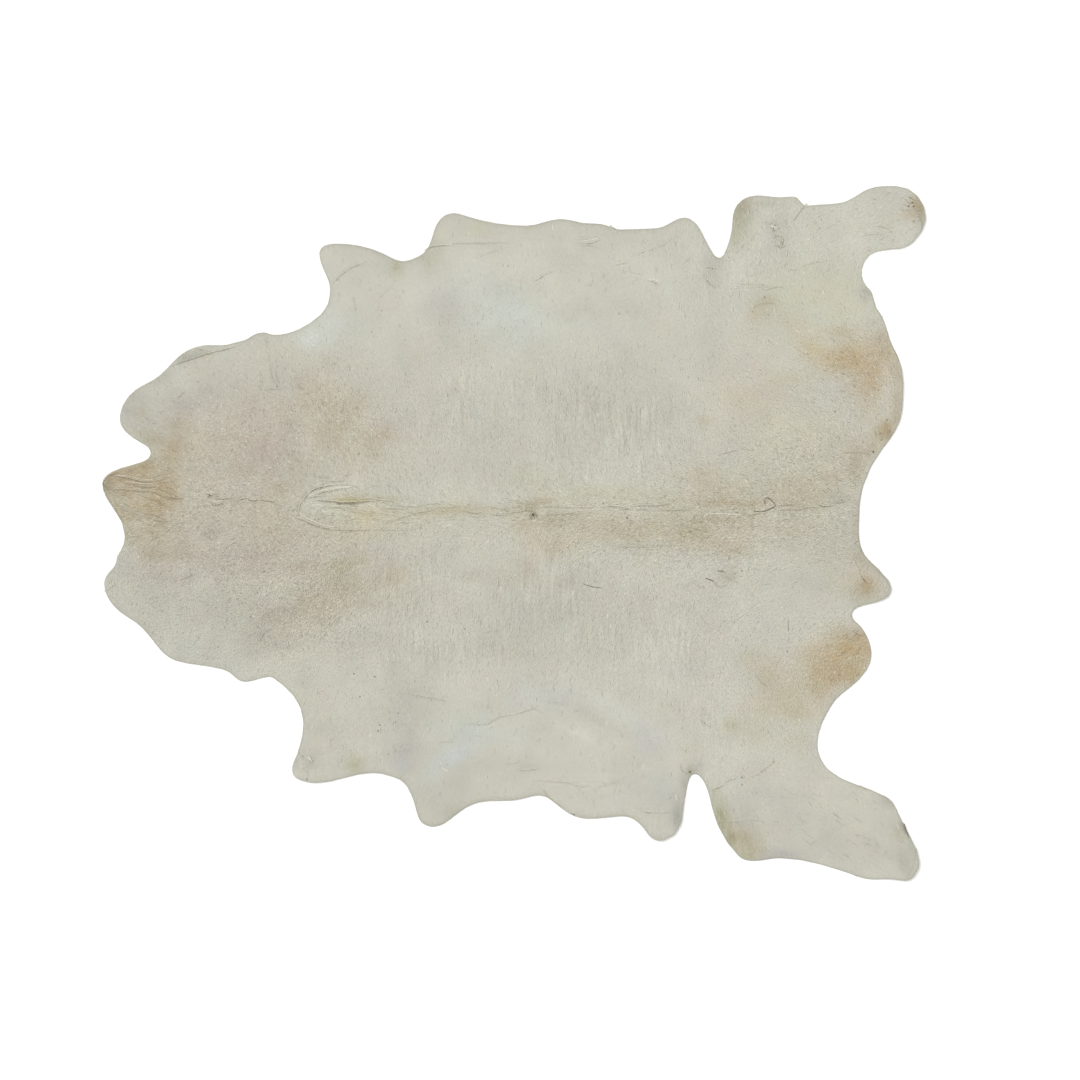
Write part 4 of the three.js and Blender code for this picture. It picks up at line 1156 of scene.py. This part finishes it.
laidHairs = {
    # dark hairs: the loop on the neck, its neighbours, and dashes all over
    thread["looseTone"]: tableOf(laidColumns, (
        (((677, 81), (675, 91), (683, 96), (694, 90)), 2.8, 0.95),
        (((691, 92), (702, 81), (704, 74), (694, 67), (683, 62)), 3.6, 0.95),
        (((686, 63), (669, 59), (650, 59)), 3, 0.95),
        (((553, -102), (564, -104)), 4, 0.85),
        (((522, -123), (536, -128)), 3.4, 0.95),
        (((536, -128), (542, -136), (551, -143), (564, -143)), 1.8, 0.45),
        (((486, -136), (502, -144), (518, -150)), 1.6, 0.3),
        (((191, -138), (210, -144), (232, -147)), 2.6, 0.95),
        (((507, -506), (524, -520)), 2, 0.7),
        (((740, -237), (740, -246)), 2.8, 0.75),
        (((740, -252), (741, -261)), 2.8, 0.75),
        (((556, 212), (596, 223)), 1.6, 0.6),
        (((615, 228), (642, 223)), 1.5, 0.6),
        (((653, -387), (664, -398), (679, -413)), 1.8, 0.5),
        (((-904, 368), (-892, 378)), 2, 0.72),
        (((939, -119), (949, -132)), 3.4, 0.75),
        (((464, 18), (475, 15)), 2.2, 0.6),
        (((488, 11), (501, 8)), 2.4, 0.65),
        (((470, 4), (480, 5)), 2, 0.55),
        (((1042, 873), (1055, 870), (1069, 871)), 1.8, 0.5),
        (((-1106, 115), (-1108, 128), (-1105, 142), (-1092, 154), (-1072, 163)), 2.6, 0.6),
        (((-1105, 112), (-1086, 82), (-1069, 55), (-1056, 31)), 2, 0.3),
        (((-475, 83), (-457, 82), (-435, 81), (-408, 84)), 4.4, 0.55),
        (((1095, 852), (1101, 833), (1097, 817)), 2.2, 0.4),
        (((1053, -787), (1058, -801), (1064, -817)), 4.4, 0.65),
        (((1085, -855), (1077, -895), (1061, -927)), 2, 0.25),
        (((583, -123), (602, -134)), 2, 0.45),
        (((926, -85), (937, -112)), 1.8, 0.4),
        (((961, -77), (991, -107), (1012, -144)), 2, 0.3),
        (((853, -301), (866, -309)), 2.4, 0.4),
        (((880, -328), (893, -320)), 2.4, 0.4),
        (((920, -269), (929, -274)), 2.4, 0.4),
        (((648, 612), (675, 621), (694, 621)), 1.9, 0.45),
        (((683, 657), (702, 663), (721, 664)), 1.9, 0.45),
        (((-824, 99), (-813, 103), (-799, 99)), 2, 0.7),
        (((-818, 82), (-805, 74), (-789, 80)), 2, 0.6),
        (((920, -28), (937, -42)), 2.4, 0.5),
        (((692, 834), (702, 840), (711, 833)), 2.2, 0.7),
        (((695, 822), (704, 817), (714, 822)), 2.2, 0.65),
        (((703, 832), (699, 817), (704, 805)), 2, 0.6),
        (((704, 798), (715, 803), (726, 795), (726, 782)), 2.2, 0.65),
        (((707, 776), (718, 771), (730, 774)), 2.2, 0.6),
        (((710, 792), (719, 784), (715, 774)), 2, 0.5),
        (((1058, 898), (1066, 891), (1074, 892)), 2.4, 0.6),
        (((1066, 906), (1077, 900)), 2.4, 0.6),
        (((1050, 887), (1061, 882)), 2.2, 0.45),
    )),
    # brown hairs at the root of the tail
    "#5f4627": tableOf(laidColumns, (
        (((-1037, 153), (-1018, 146), (-999, 143)), 1.8, 0.45),
        (((-961, 136), (-934, 138)), 2, 0.5),
        (((-1021, 127), (-997, 124)), 1.8, 0.4),
        (((-980, 126), (-956, 122)), 2.2, 0.6),
        (((-948, 128), (-926, 120)), 2.2, 0.6),
        (((-988, 112), (-970, 111)), 2.2, 0.7),
        (((-964, 105), (-945, 99)), 2.4, 0.7),
        (((-1005, 101), (-983, 93)), 2.2, 0.55),
        (((-975, 90), (-956, 86)), 2.4, 0.6),
        (((-937, 93), (-916, 93)), 2.2, 0.55),
        (((-926, 107), (-897, 94)), 2, 0.5),
        (((-1069, 119), (-1042, 113)), 2, 0.45),
        (((-956, 77), (-934, 72)), 2.2, 0.45),
        (((-997, 53), (-961, 47)), 2, 0.4),
    )),
    # dashes on the right foreleg
    "#77725f": tableOf(laidColumns, (
        (((866, -760), (880, -771)), 1.8, 0.5),
        (((875, -779), (888, -787)), 1.8, 0.45),
        (((920, -768), (934, -776)), 1.8, 0.45),
        (((788, -811), (804, -822)), 1.8, 0.4),
        (((802, -838), (815, -830)), 1.8, 0.45),
        (((891, -868), (904, -876)), 1.8, 0.5),
        (((937, -814), (950, -822)), 1.8, 0.45),
        (((950, -841), (958, -830)), 1.8, 0.45),
        (((977, -825), (985, -846)), 1.8, 0.4),
        (((721, -709), (742, -717)), 1.8, 0.35),
        (((788, -709), (810, -717)), 1.8, 0.35),
        (((761, -763), (788, -779)), 1.8, 0.3),
        (((842, -849), (861, -863)), 1.8, 0.35),
        (((902, -828), (923, -841)), 1.8, 0.35),
    )),
    # olive hair over the long fold
    "#a09c50": tableOf(laidColumns, (
        (((-481, 89), (-457, 88), (-427, 88), (-400, 89)), 5, 0.6),
        (((-465, 93), (-440, 93), (-416, 93)), 4, 0.35),
    )),
    # pale hairs beside them: painted highlights on the lit lips of the folds
    thread["highlightTone"]: tableOf(laidColumns, (
        (((514, 46), (524, 52), (556, 53), (606, 51)), 2.2, 0.6),
        (((164, 60), (200, 63), (240, 65)), 2.2, 0.28),
        (((-551, 101), (-535, 110), (-513, 117), (-481, 123), (-443, 126)), 2.2, 0.5),
        (((-529, 76), (-497, 76), (-457, 73)), 2.2, 0.45),
        (((-513, 58), (-470, 57)), 2.2, 0.4),
        (((-573, 49), (-546, 35), (-519, 24), (-486, 18)), 2.2, 0.45),
        (((-1069, 157), (-1037, 154), (-1007, 146), (-978, 145)), 2.2, 0.38),
        (((-1042, 140), (-1010, 135), (-975, 133)), 2.2, 0.4),
        (((-1021, 121), (-983, 117), (-961, 126)), 2.2, 0.2),
        (((-816, 92), (-805, 87), (-791, 88)), 2.2, 0.5),
        (((534, 656), (596, 656), (664, 660)), 2, 0.12),
        (((367, 686), (386, 683)), 3, 0.5),
        (((186, 789), (221, 795)), 2.4, 0.5),
        (((696, 829), (704, 825)), 3, 0.5),
        (((-554, -606), (-548, -612)), 3.4, 0.5),
        (((1034, -787), (1037, -795)), 4, 0.2),
        (((335, 760), (367, 784)), 2, 0.35),
        (((348, 752), (380, 779)), 2, 0.3),
        (((-189, -636), (-181, -641)), 3, 0.4),
        (((702, 606), (707, 576)), 2, 0.35),
        (((880, 63), (920, 63)), 2.2, 0.4),
        (((-818, 89), (-808, 85), (-797, 86)), 2, 0.5),
        (((596, -228), (637, -207), (686, -182), (734, -163)), 2.4, 0.14),
        (((518, -255), (556, -239), (594, -215)), 2.4, 0.12),
    )),
}
speck = {"length": 1.7, "width": 0.9}  # two crossed hairs, in sizes of the speck
specks = tableOf(("x", "y", "size", "share"), (
    (51, 50, 6, 0.95), (52, 51, 5, 0.95), (1064, 882, 4.5, 0.85), (1074, 892, 4, 0.8),
    (1078, 882, 4, 0.7), (1078, 841, 6, 0.4), (32, 61, 3.5, 0.7), (8, 123, 3, 0.4), (127, 20, 3, 0.6),
    (159, -23, 3, 0.4), (167, -36, 3, 0.5), (205, 55, 3, 0.5), (240, 82, 3.5, 0.55), (267, 36, 4, 0.5),
    (305, 42, 4.5, 0.7), (688, 136, 4, 0.55), (-821, 104, 4, 0.9), (-853, 409, 3.5, 0.5),
    (-675, 366, 3, 0.5), (-640, 450, 3.5, 0.35), (-484, 458, 3.5, 0.5), (676, 637, 4, 0.6),
    (866, 328, 4, 0.6), (969, 220, 4.5, 0.8), (1007, 306, 4, 0.6), (988, 269, 4, 0.6),
    (991, 252, 3.5, 0.5), (942, 247, 4, 0.4), (829, 846, 3, 0.4), (615, -101, 3, 0.8),
    (615, -659, 4, 0.75), (615, -678, 3.5, 0.6), (700, -617, 4, 0.6), (737, -319, 4.5, 0.5),
    (-559, -663, 4, 0.7), (-362, -517, 4, 0.65), (-367, -533, 4, 0.6), (-313, -485, 3.5, 0.5),
    (-338, -595, 3, 0.45), (421, -714, 4, 0.4), (-235, -239, 3.5, 0.75), (-133, -258, 3.5, 0.6),
    (-432, -379, 3.5, 0.7), (-376, -387, 3.5, 0.75), (-416, -441, 3.5, 0.6), (-384, 544, 3, 0.45),
    (-308, 558, 3, 0.4), (-295, 522, 3, 0.4), (283, 593, 4, 0.45), (-100, 520, 3, 0.4),
    (86, 198, 3, 0.45), (464, -585, 3, 0.5), (475, -644, 5, 0.8), (162, -759, 4, 0.8),
    (-799, -306, 3.5, 0.5), (-762, -109, 3, 0.45), (-673, -104, 3, 0.45), (-694, -161, 3, 0.45),
    (-748, -177, 3, 0.45), (-583, -180, 3, 0.45), (-529, -163, 3, 0.45), (-551, -144, 3, 0.45),
    (-475, -150, 3, 0.45), (-632, -174, 3, 0.45), (-357, 601, 3, 0.45), (-30, 722, 3, 0.4),
    (-16, 722, 3, 0.4), (210, 701, 3, 0.35), (650, 609, 3.2, 0.5), (645, 598, 3.2, 0.5),
    (686, 590, 3.2, 0.5), (737, 571, 3.2, 0.5), (920, 477, 3.2, 0.5), (993, 491, 3.2, 0.5),
    (956, 433, 3.2, 0.5), (888, 431, 3.2, 0.5), (918, 396, 3.2, 0.5), (983, 387, 3.2, 0.5),
    (947, 360, 3.2, 0.5), (791, 485, 3.2, 0.5), (561, -101, 3.4, 0.6), (596, -109, 3.2, 0.5),
    (613, -117, 3, 0.4), (545, -134, 3, 0.5), (572, -142, 3.2, 0.5),
))
# knot of hair on the spine
whorl = {"x": 51, "y": 50, "hairs": 22, "turn": 0.15, "inner": 2.0, "length": (6.0, 15.0), "width": 2.6,
         "share": 0.7, "leastShare": 0.3}
# stray hairs over the rough coat, every dark one with a pale one beside it as a painted glint: tone, count
# and most share
stray = {"length": (0.35, 0.85), "width": 1.7, "aside": 2.3, "turn": 8.0, "leastShare": 0.25,
         "highlightShare": 0.5,
         "tones": (("#5c5240", 2300, 0.52), ("#8a7f4e", 800, 0.55), ("#8d6f52", 700, 0.45))}
# short scratches that show where the hair lies sleek: how many of each tone, and its most share
scuff = {"count": 175, "length": (7.0, 24.0), "width": 1.5, "turn": 35.0, "leastShare": 0.15,
         "relief": 0.25,  # they are half as many where the hair is rougher by this
         "tones": (("#6d6653", 0.2), ("#f4f1e6", 0.12))}
strokes, strokeColours = [], []


def addStrokes(middle, heading, length, width, tone, share):
    # hairs laid on the coat: their middles, headings, sizes and how far they take the tone
    count = len(middle)
    length, width, share = (np.broadcast_to(value, count) for value in (length, width, share))
    start = middle - toward(heading) * length[:, None] / 2
    lift = flowAt(*middle.T)[3].clip(thread["leastLift"]) * rng.uniform(*thread["lifts"], count)
    found = lockPoints(start, heading, length, width, lift, thread["rises"], 1.0)
    same = np.ones(count)
    plain = lockColours(found, 0 * same, same, same).reshape(-1, 4, 3)
    share = share.clip(0, thread["mostShare"])[:, None, None]
    strokes.append(found)
    strokeColours.append(mixed(plain, tone, share))


def addLine(path, width, tone, share, taper):
    line = curveThrough(path, thread["step"])
    heading = np.arctan2(*np.gradient(line, axis=0).T[::-1])
    heading = heading + np.radians(thread["sway"]) * rng.standard_normal(len(line))
    length = thread["length"] * rng.uniform(*thread["lengths"], len(line))
    ends = np.linspace(0, 1, len(line))
    fade = smoothstep(thread["endFade"], taper, np.minimum(ends, 1 - ends))
    fade = fade * rng.uniform(*thread["shares"], len(line))
    addStrokes(line, heading, length, width, tone, share * fade)


# dark hairs laid along the middle of each crease: painted shade
for row in creases:
    if row["tone"]:
        width = thread["width"] * max(1, row["width"] / thread["wideFrom"])
        addLine(row["path"], width, coat["creaseShadeTone"], row["tone"], crease["endTaper"])
        # a pale line above each crease: painted highlight on its upper lip
        above = [(x, y + thread["highlightAway"] + width / 2) for x, y in row["path"]]
        share = thread["highlightShare"] * row["tone"]
        addLine(above, thread["width"], thread["highlightTone"], share, crease["endTaper"])
for tone, rows in laidHairs.items():
    for row in rows:
        addLine(row["path"], row["width"], tone, row["share"], thread["laidTaper"])
for row in specks:
    heading = rng.uniform(0, math.pi) + np.array([0, math.pi / 2])
    spot = np.tile([row["x"], row["y"]], (2, 1)).astype(float)
    length, width = speck["length"] * row["size"], speck["width"] * row["size"]
    addStrokes(spot, heading, length, width, thread["looseTone"], row["share"])
heading = np.linspace(0, 2 * math.pi, whorl["hairs"], endpoint=False)
heading = heading + whorl["turn"] * rng.standard_normal(whorl["hairs"])
length = rng.uniform(*whorl["length"], whorl["hairs"])
spot = toward(heading) * (whorl["inner"] + length / 2)[:, None]
addStrokes(spot + [whorl["x"], whorl["y"]], heading, length, whorl["width"], thread["looseTone"],
           whorl["share"] * rng.uniform(whorl["leastShare"], 1, whorl["hairs"]))
for tone, count, most in stray["tones"]:
    chosen = rng.choice(len(relief), count, replace=False, p=relief / relief.sum())
    heading = headings[chosen] + np.radians(stray["turn"]) * rng.standard_normal(count)
    length = lengths[chosen] * rng.uniform(*stray["length"], count)
    share = most * rng.uniform(stray["leastShare"], 1, count)
    away = leftOf(toward(heading)) * stray["aside"] * rng.choice([-1, 1], (count, 1))
    addStrokes(roots[chosen], heading, length, stray["width"], tone, share)
    addStrokes(roots[chosen] + away, heading, length, stray["width"], thread["highlightTone"],
               stray["highlightShare"] * share)
sleekness = 1 / (scuff["relief"] + relief)
for tone, most in scuff["tones"]:
    count = scuff["count"]
    chosen = rng.choice(len(sleekness), count, replace=False, p=sleekness / sleekness.sum())
    heading = np.radians(scuff["turn"]) * rng.standard_normal(count)
    addStrokes(roots[chosen], heading, rng.uniform(*scuff["length"], count), scuff["width"], tone,
               most * rng.uniform(scuff["leastShare"], 1, count))
# a line of darker hairs just inside the cut edge: the edge's own darker tone and painted edge shadow
edge = evenLoop(fineRim, thread["step"])
inward = inwardOf(edge)
patch = readField(noiseField(thread["rimPatch"], thread["rimSeed"]), *edge.T)
addStrokes(edge + inward * thread["rimInset"], np.arctan2(-inward[:, 0], inward[:, 1]), thread["rimLength"],
           thread["width"], thread["rimEdgeAndShadeTone"], thread["rimShare"] * (1 + thread["rimPatchy"] * patch))
locks = np.concatenate([locks, *strokes])
lockColour = np.concatenate([lockColour, *strokeColours])
print("with the hairs laid on them:", len(locks))


# Hair-on cowhide coat: keratin hair with a soft sheen, IOR 1.55, its strands drawn about 0.4 mm wide,
# four times the real hair, so that the grain of a lock still shows close to
def coatMaterial():
    material, tree = newMaterial("cowhide_hair_lying")
    colour = addNode(tree, "ShaderNodeAttribute", attribute_name="hairColour")
    strandMap = addNode(tree, "ShaderNodeUVMap", uv_map="strands")
    stretched = addNode(tree, "ShaderNodeMapping", {"Vector": strandMap.outputs[0], "Scale": (4, 1.2, 1)})
    strands = addNode(tree, "ShaderNodeTexNoise", {
        "Vector": stretched.outputs[0], "Scale": 1.0, "Detail": 1.0})
    brightness = addNode(tree, "ShaderNodeMapRange", {
        "Value": strands.outputs[0], "From Min": 0.3, "From Max": 0.7, "To Min": 0.95, "To Max": 1.04})
    shaded = addNode(tree, "ShaderNodeVectorMath", {0: colour.outputs["Color"], 1: brightness.outputs[0]},
                     operation="MULTIPLY")
    bump = addNode(tree, "ShaderNodeBump", {
        "Height": strands.outputs[0], "Strength": 0.15, "Distance": 0.2 * mm})
    surface = addNode(tree, "ShaderNodeBsdfPrincipled", {
        "Base Color": shaded.outputs[0], "Normal": bump.outputs[0], "Roughness": 0.62, "IOR": 1.55,
        "Specular IOR Level": 0.3, "Sheen Weight": 0.12, "Sheen Roughness": 0.5})
    addNode(tree, "ShaderNodeOutputMaterial", {"Surface": surface.outputs[0]})
    return material


# Grain side of the leather under the hair: pores about 1 mm apart, seen only between locks
def grainMaterial():
    material, tree = newMaterial("cowhide_grain_under_hair")
    place = addNode(tree, "ShaderNodeTexCoord")
    colour = addNode(tree, "ShaderNodeAttribute", attribute_name="hairColour")
    pores = addNode(tree, "ShaderNodeTexVoronoi", {
        "Vector": place.outputs["Object"], "Scale": 1 / (1.2 * mm)})
    bump = addNode(tree, "ShaderNodeBump", {
        "Height": pores.outputs[0], "Strength": 0.4, "Distance": 0.2 * mm})
    surface = addNode(tree, "ShaderNodeBsdfPrincipled", {
        "Base Color": colour.outputs["Color"], "Normal": bump.outputs[0], "Roughness": 0.7,
        "Specular IOR Level": 0.25})
    addNode(tree, "ShaderNodeOutputMaterial", {"Surface": surface.outputs[0]})
    return material


# Flesh side and cut edge: split, buffed leather with a suede nap, warm grey-beige and cloudy over 60 mm
def suedeMaterial(name, highlightTone, deepTone):
    material, tree = newMaterial(name)
    place = addNode(tree, "ShaderNodeTexCoord")
    clouds = addNode(tree, "ShaderNodeTexNoise", {
        "Vector": place.outputs["Object"], "Scale": 1 / (60 * mm), "Detail": 6.0})
    nap = addNode(tree, "ShaderNodeTexNoise", {
        "Vector": place.outputs["Object"], "Scale": 1 / (1.5 * mm), "Detail": 3.0})
    tones = addNode(tree, "ShaderNodeMix", {  # share, and the two colours
        0: clouds.outputs[0], 6: (*linear(deepTone), 1), 7: (*linear(highlightTone), 1)}, data_type="RGBA")
    bump = addNode(tree, "ShaderNodeBump", {
        "Height": nap.outputs[0], "Strength": 0.5, "Distance": 0.4 * mm})
    surface = addNode(tree, "ShaderNodeBsdfPrincipled", {
        "Base Color": tones.outputs[2], "Normal": bump.outputs[0], "Roughness": 0.85, "Sheen Weight": 0.2,
        "Sheen Roughness": 0.5, "Specular IOR Level": 0.2})
    addNode(tree, "ShaderNodeOutputMaterial", {"Surface": surface.outputs[0]})
    return material


def makeCoat(name, chosen, material):
    mine, colour = locks[chosen], lockColour[chosen]
    base = np.arange(len(mine))[:, None, None] * 4
    faces = (base + np.array([[0, 3, 1], [0, 2, 3], [0, 1, 2], [3, 2, 1]])).reshape(-1, 3)
    vertices = mine.reshape(-1, 3)
    piece = newMesh(name, vertices, faces, False)
    addColour(piece, colour.reshape(-1, 3))
    addMap(piece, "OFBake", onPage(*vertices.T[:2]))
    shape = np.array([[0.5, 0], [0, coat["widest"]], [1, coat["widest"]], [0.5, 1]])
    shape = shape + rng.integers(0, coat["strandPlaces"], (len(mine), 1, 2))
    addMap(piece, "strands", shape.reshape(-1, 2))
    piece.data.materials.append(material)
    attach(piece, "root")
    print(name, "has", len(faces), "triangles")
    return piece


hairMaterial = coatMaterial()
coats, tailEnd = [], -np.inf
for regionName, neckEnd in coat["regions"]:
    chosen = (locks[:, 0, 0] >= tailEnd) & (locks[:, 0, 0] < neckEnd)
    coats.append(makeCoat(regionName, chosen, hairMaterial))
    tailEnd = neckEnd


def makeLeather():
    rim = softLoop(evenLoop(fineRim, form["rimStep"]), form["rimSoftness"], form["rimStep"])
    inward = inwardOf(rim)
    edge = rim + inward * leather["inset"]
    clear = leather["inset"] + leather["rimClear"] * form["rimStep"]
    lines = np.vstack([curveThrough(row["path"], leather["creaseCell"]) for row in creases])
    beside = leather["creaseBeside"]
    close = np.vstack([lines + shift for shift in ((0, 0), (0, beside), (0, -beside), (beside, 0))])
    close = np.unique(np.round(close / leather["creaseCell"]), axis=0) * leather["creaseCell"]
    even = hexPoints(leather["cell"], leather["jitter"])
    nearCrease = readField(creaseShadeField, *even.T) > leather["creaseFrom"]
    inner = np.vstack([even[~nearCrease], close])
    inner = inner[readField(rimField, *inner.T) > clear]
    lower = hexPoints(leather["underCell"], leather["jitter"])
    lower = lower[readField(rimField, *lower.T) > clear + leather["underClear"]]
    topSpots, topFaces = filled(edge, inner)
    underSpots, underFaces = filled(edge, lower)
    n, count = len(edge), len(topSpots)
    top = np.column_stack([topSpots, skinAt(*topSpots.T)])
    under = np.column_stack([underSpots, np.maximum(readField(underField, *underSpots.T), 0)])
    middle = np.column_stack([edge - inward * leather["edgeBulge"], (top[:n, 2] + under[:n, 2]) / 2])
    ring = np.arange(n)
    after = np.roll(ring, -1)
    middleStart = count + len(under)
    walls = np.vstack([
        np.stack([ring, ring + middleStart, after + middleStart, after], axis=1),
        np.stack([ring + middleStart, ring + count, after + count, after + middleStart], axis=1)])
    faces = [*topFaces, *(underFaces[:, ::-1] + count), *walls]
    kinds = np.repeat([0, 1, 2], [len(topFaces), len(underFaces), len(walls)])
    vertices = np.vstack([top, under, middle])
    piece = newMesh("hide_leather", vertices, faces, kinds < 2)
    piece.data.polygons.foreach_set("material_index", kinds.astype(np.int32))
    colour = coatColour(*vertices.T[:2], np.zeros(len(vertices))) * leather["shade"]
    # painted shade in the creases of the leather, at their full tone
    inCrease = readField(creaseShadeField, *vertices.T[:2])[:, None]
    addColour(piece, mixed(colour, coat["creaseShadeTone"], inCrease))
    half = 0.5  # the hair side has the left half of the page, and the flesh side the right
    page = onPage(*vertices.T[:2]) * half
    page[:, 1] += half / 2
    page[count:middleStart, 0] += half
    addMap(piece, "OFBake", page)
    for material in (grainMaterial(),
                     suedeMaterial("cowhide_flesh_side_buffed", "#cdbfa6", "#b3a288"),
                     suedeMaterial("cowhide_edge_cut", "#c3b79f", "#9d9078")):
        piece.data.materials.append(material)
    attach(piece, "root")
    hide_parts("hide")


makeLeather()

# Plain floor, soft studio light and a camera straight above
studio = {
    "floor": "#fcfcfb",
    "floorSize": 80000.0,
    "floorDrop": 0.2,    # just under the hide, so that the two never share a plane
    "sky": "#fefffe",
    "skyStrength": 0.869,
    "sunStrength": 1.52,
    "sunFrom": (-0.75, 0.55, 1.0),
    "sunSoftness": 24.0,
    "lens": 85.0,
    "sensor": 36.0,
    "aim": (70.0, -18.0),
    "frameWidth": 2916.0,  # what the camera takes in at floor height
    "farEnd": 200000.0,
}


def makeStudio():
    scene = bpy.context.scene
    half = studio["floorSize"] / 2
    corners = np.array([[-half, -half, 0], [half, -half, 0], [half, half, 0], [-half, half, 0]])
    floor = newMesh("floor", corners - [0, 0, studio["floorDrop"]], [np.array([0, 1, 2, 3])], False)
    material = bpy.data.materials.new("floor_matt_paint")
    material.use_nodes = True
    surface = material.node_tree.nodes["Principled BSDF"]
    surface.inputs["Base Color"].default_value = (*linear(studio["floor"]), 1)
    surface.inputs["Roughness"].default_value = 0.9
    surface.inputs["Specular IOR Level"].default_value = 0.1
    floor.data.materials.append(material)
    world = bpy.data.worlds.new("studio")
    world.use_nodes = True
    background = world.node_tree.nodes["Background"]
    background.inputs["Color"].default_value = (*linear(studio["sky"]), 1)
    background.inputs["Strength"].default_value = studio["skyStrength"]
    scene.world = world
    sunData = bpy.data.lights.new("wide_lamp", "SUN")
    sunData.energy = studio["sunStrength"]
    sunData.angle = math.radians(studio["sunSoftness"])
    x, y, z = studio["sunFrom"]
    sun = addObject("wide_lamp", sunData)
    sun.rotation_euler = (math.atan2(math.hypot(x, y), z), 0, math.atan2(x, -y))
    cameraData = bpy.data.cameras.new("camera")
    cameraData.lens = studio["lens"]
    cameraData.sensor_width = studio["sensor"]
    cameraData.clip_end = studio["farEnd"] * mm
    height = studio["frameWidth"] * studio["lens"] / studio["sensor"]
    scene.camera = addObject("camera", cameraData)
    scene.camera.location = (studio["aim"][0] * mm, studio["aim"][1] * mm, height * mm)
    scene.view_settings.view_transform = "Standard"


makeStudio()
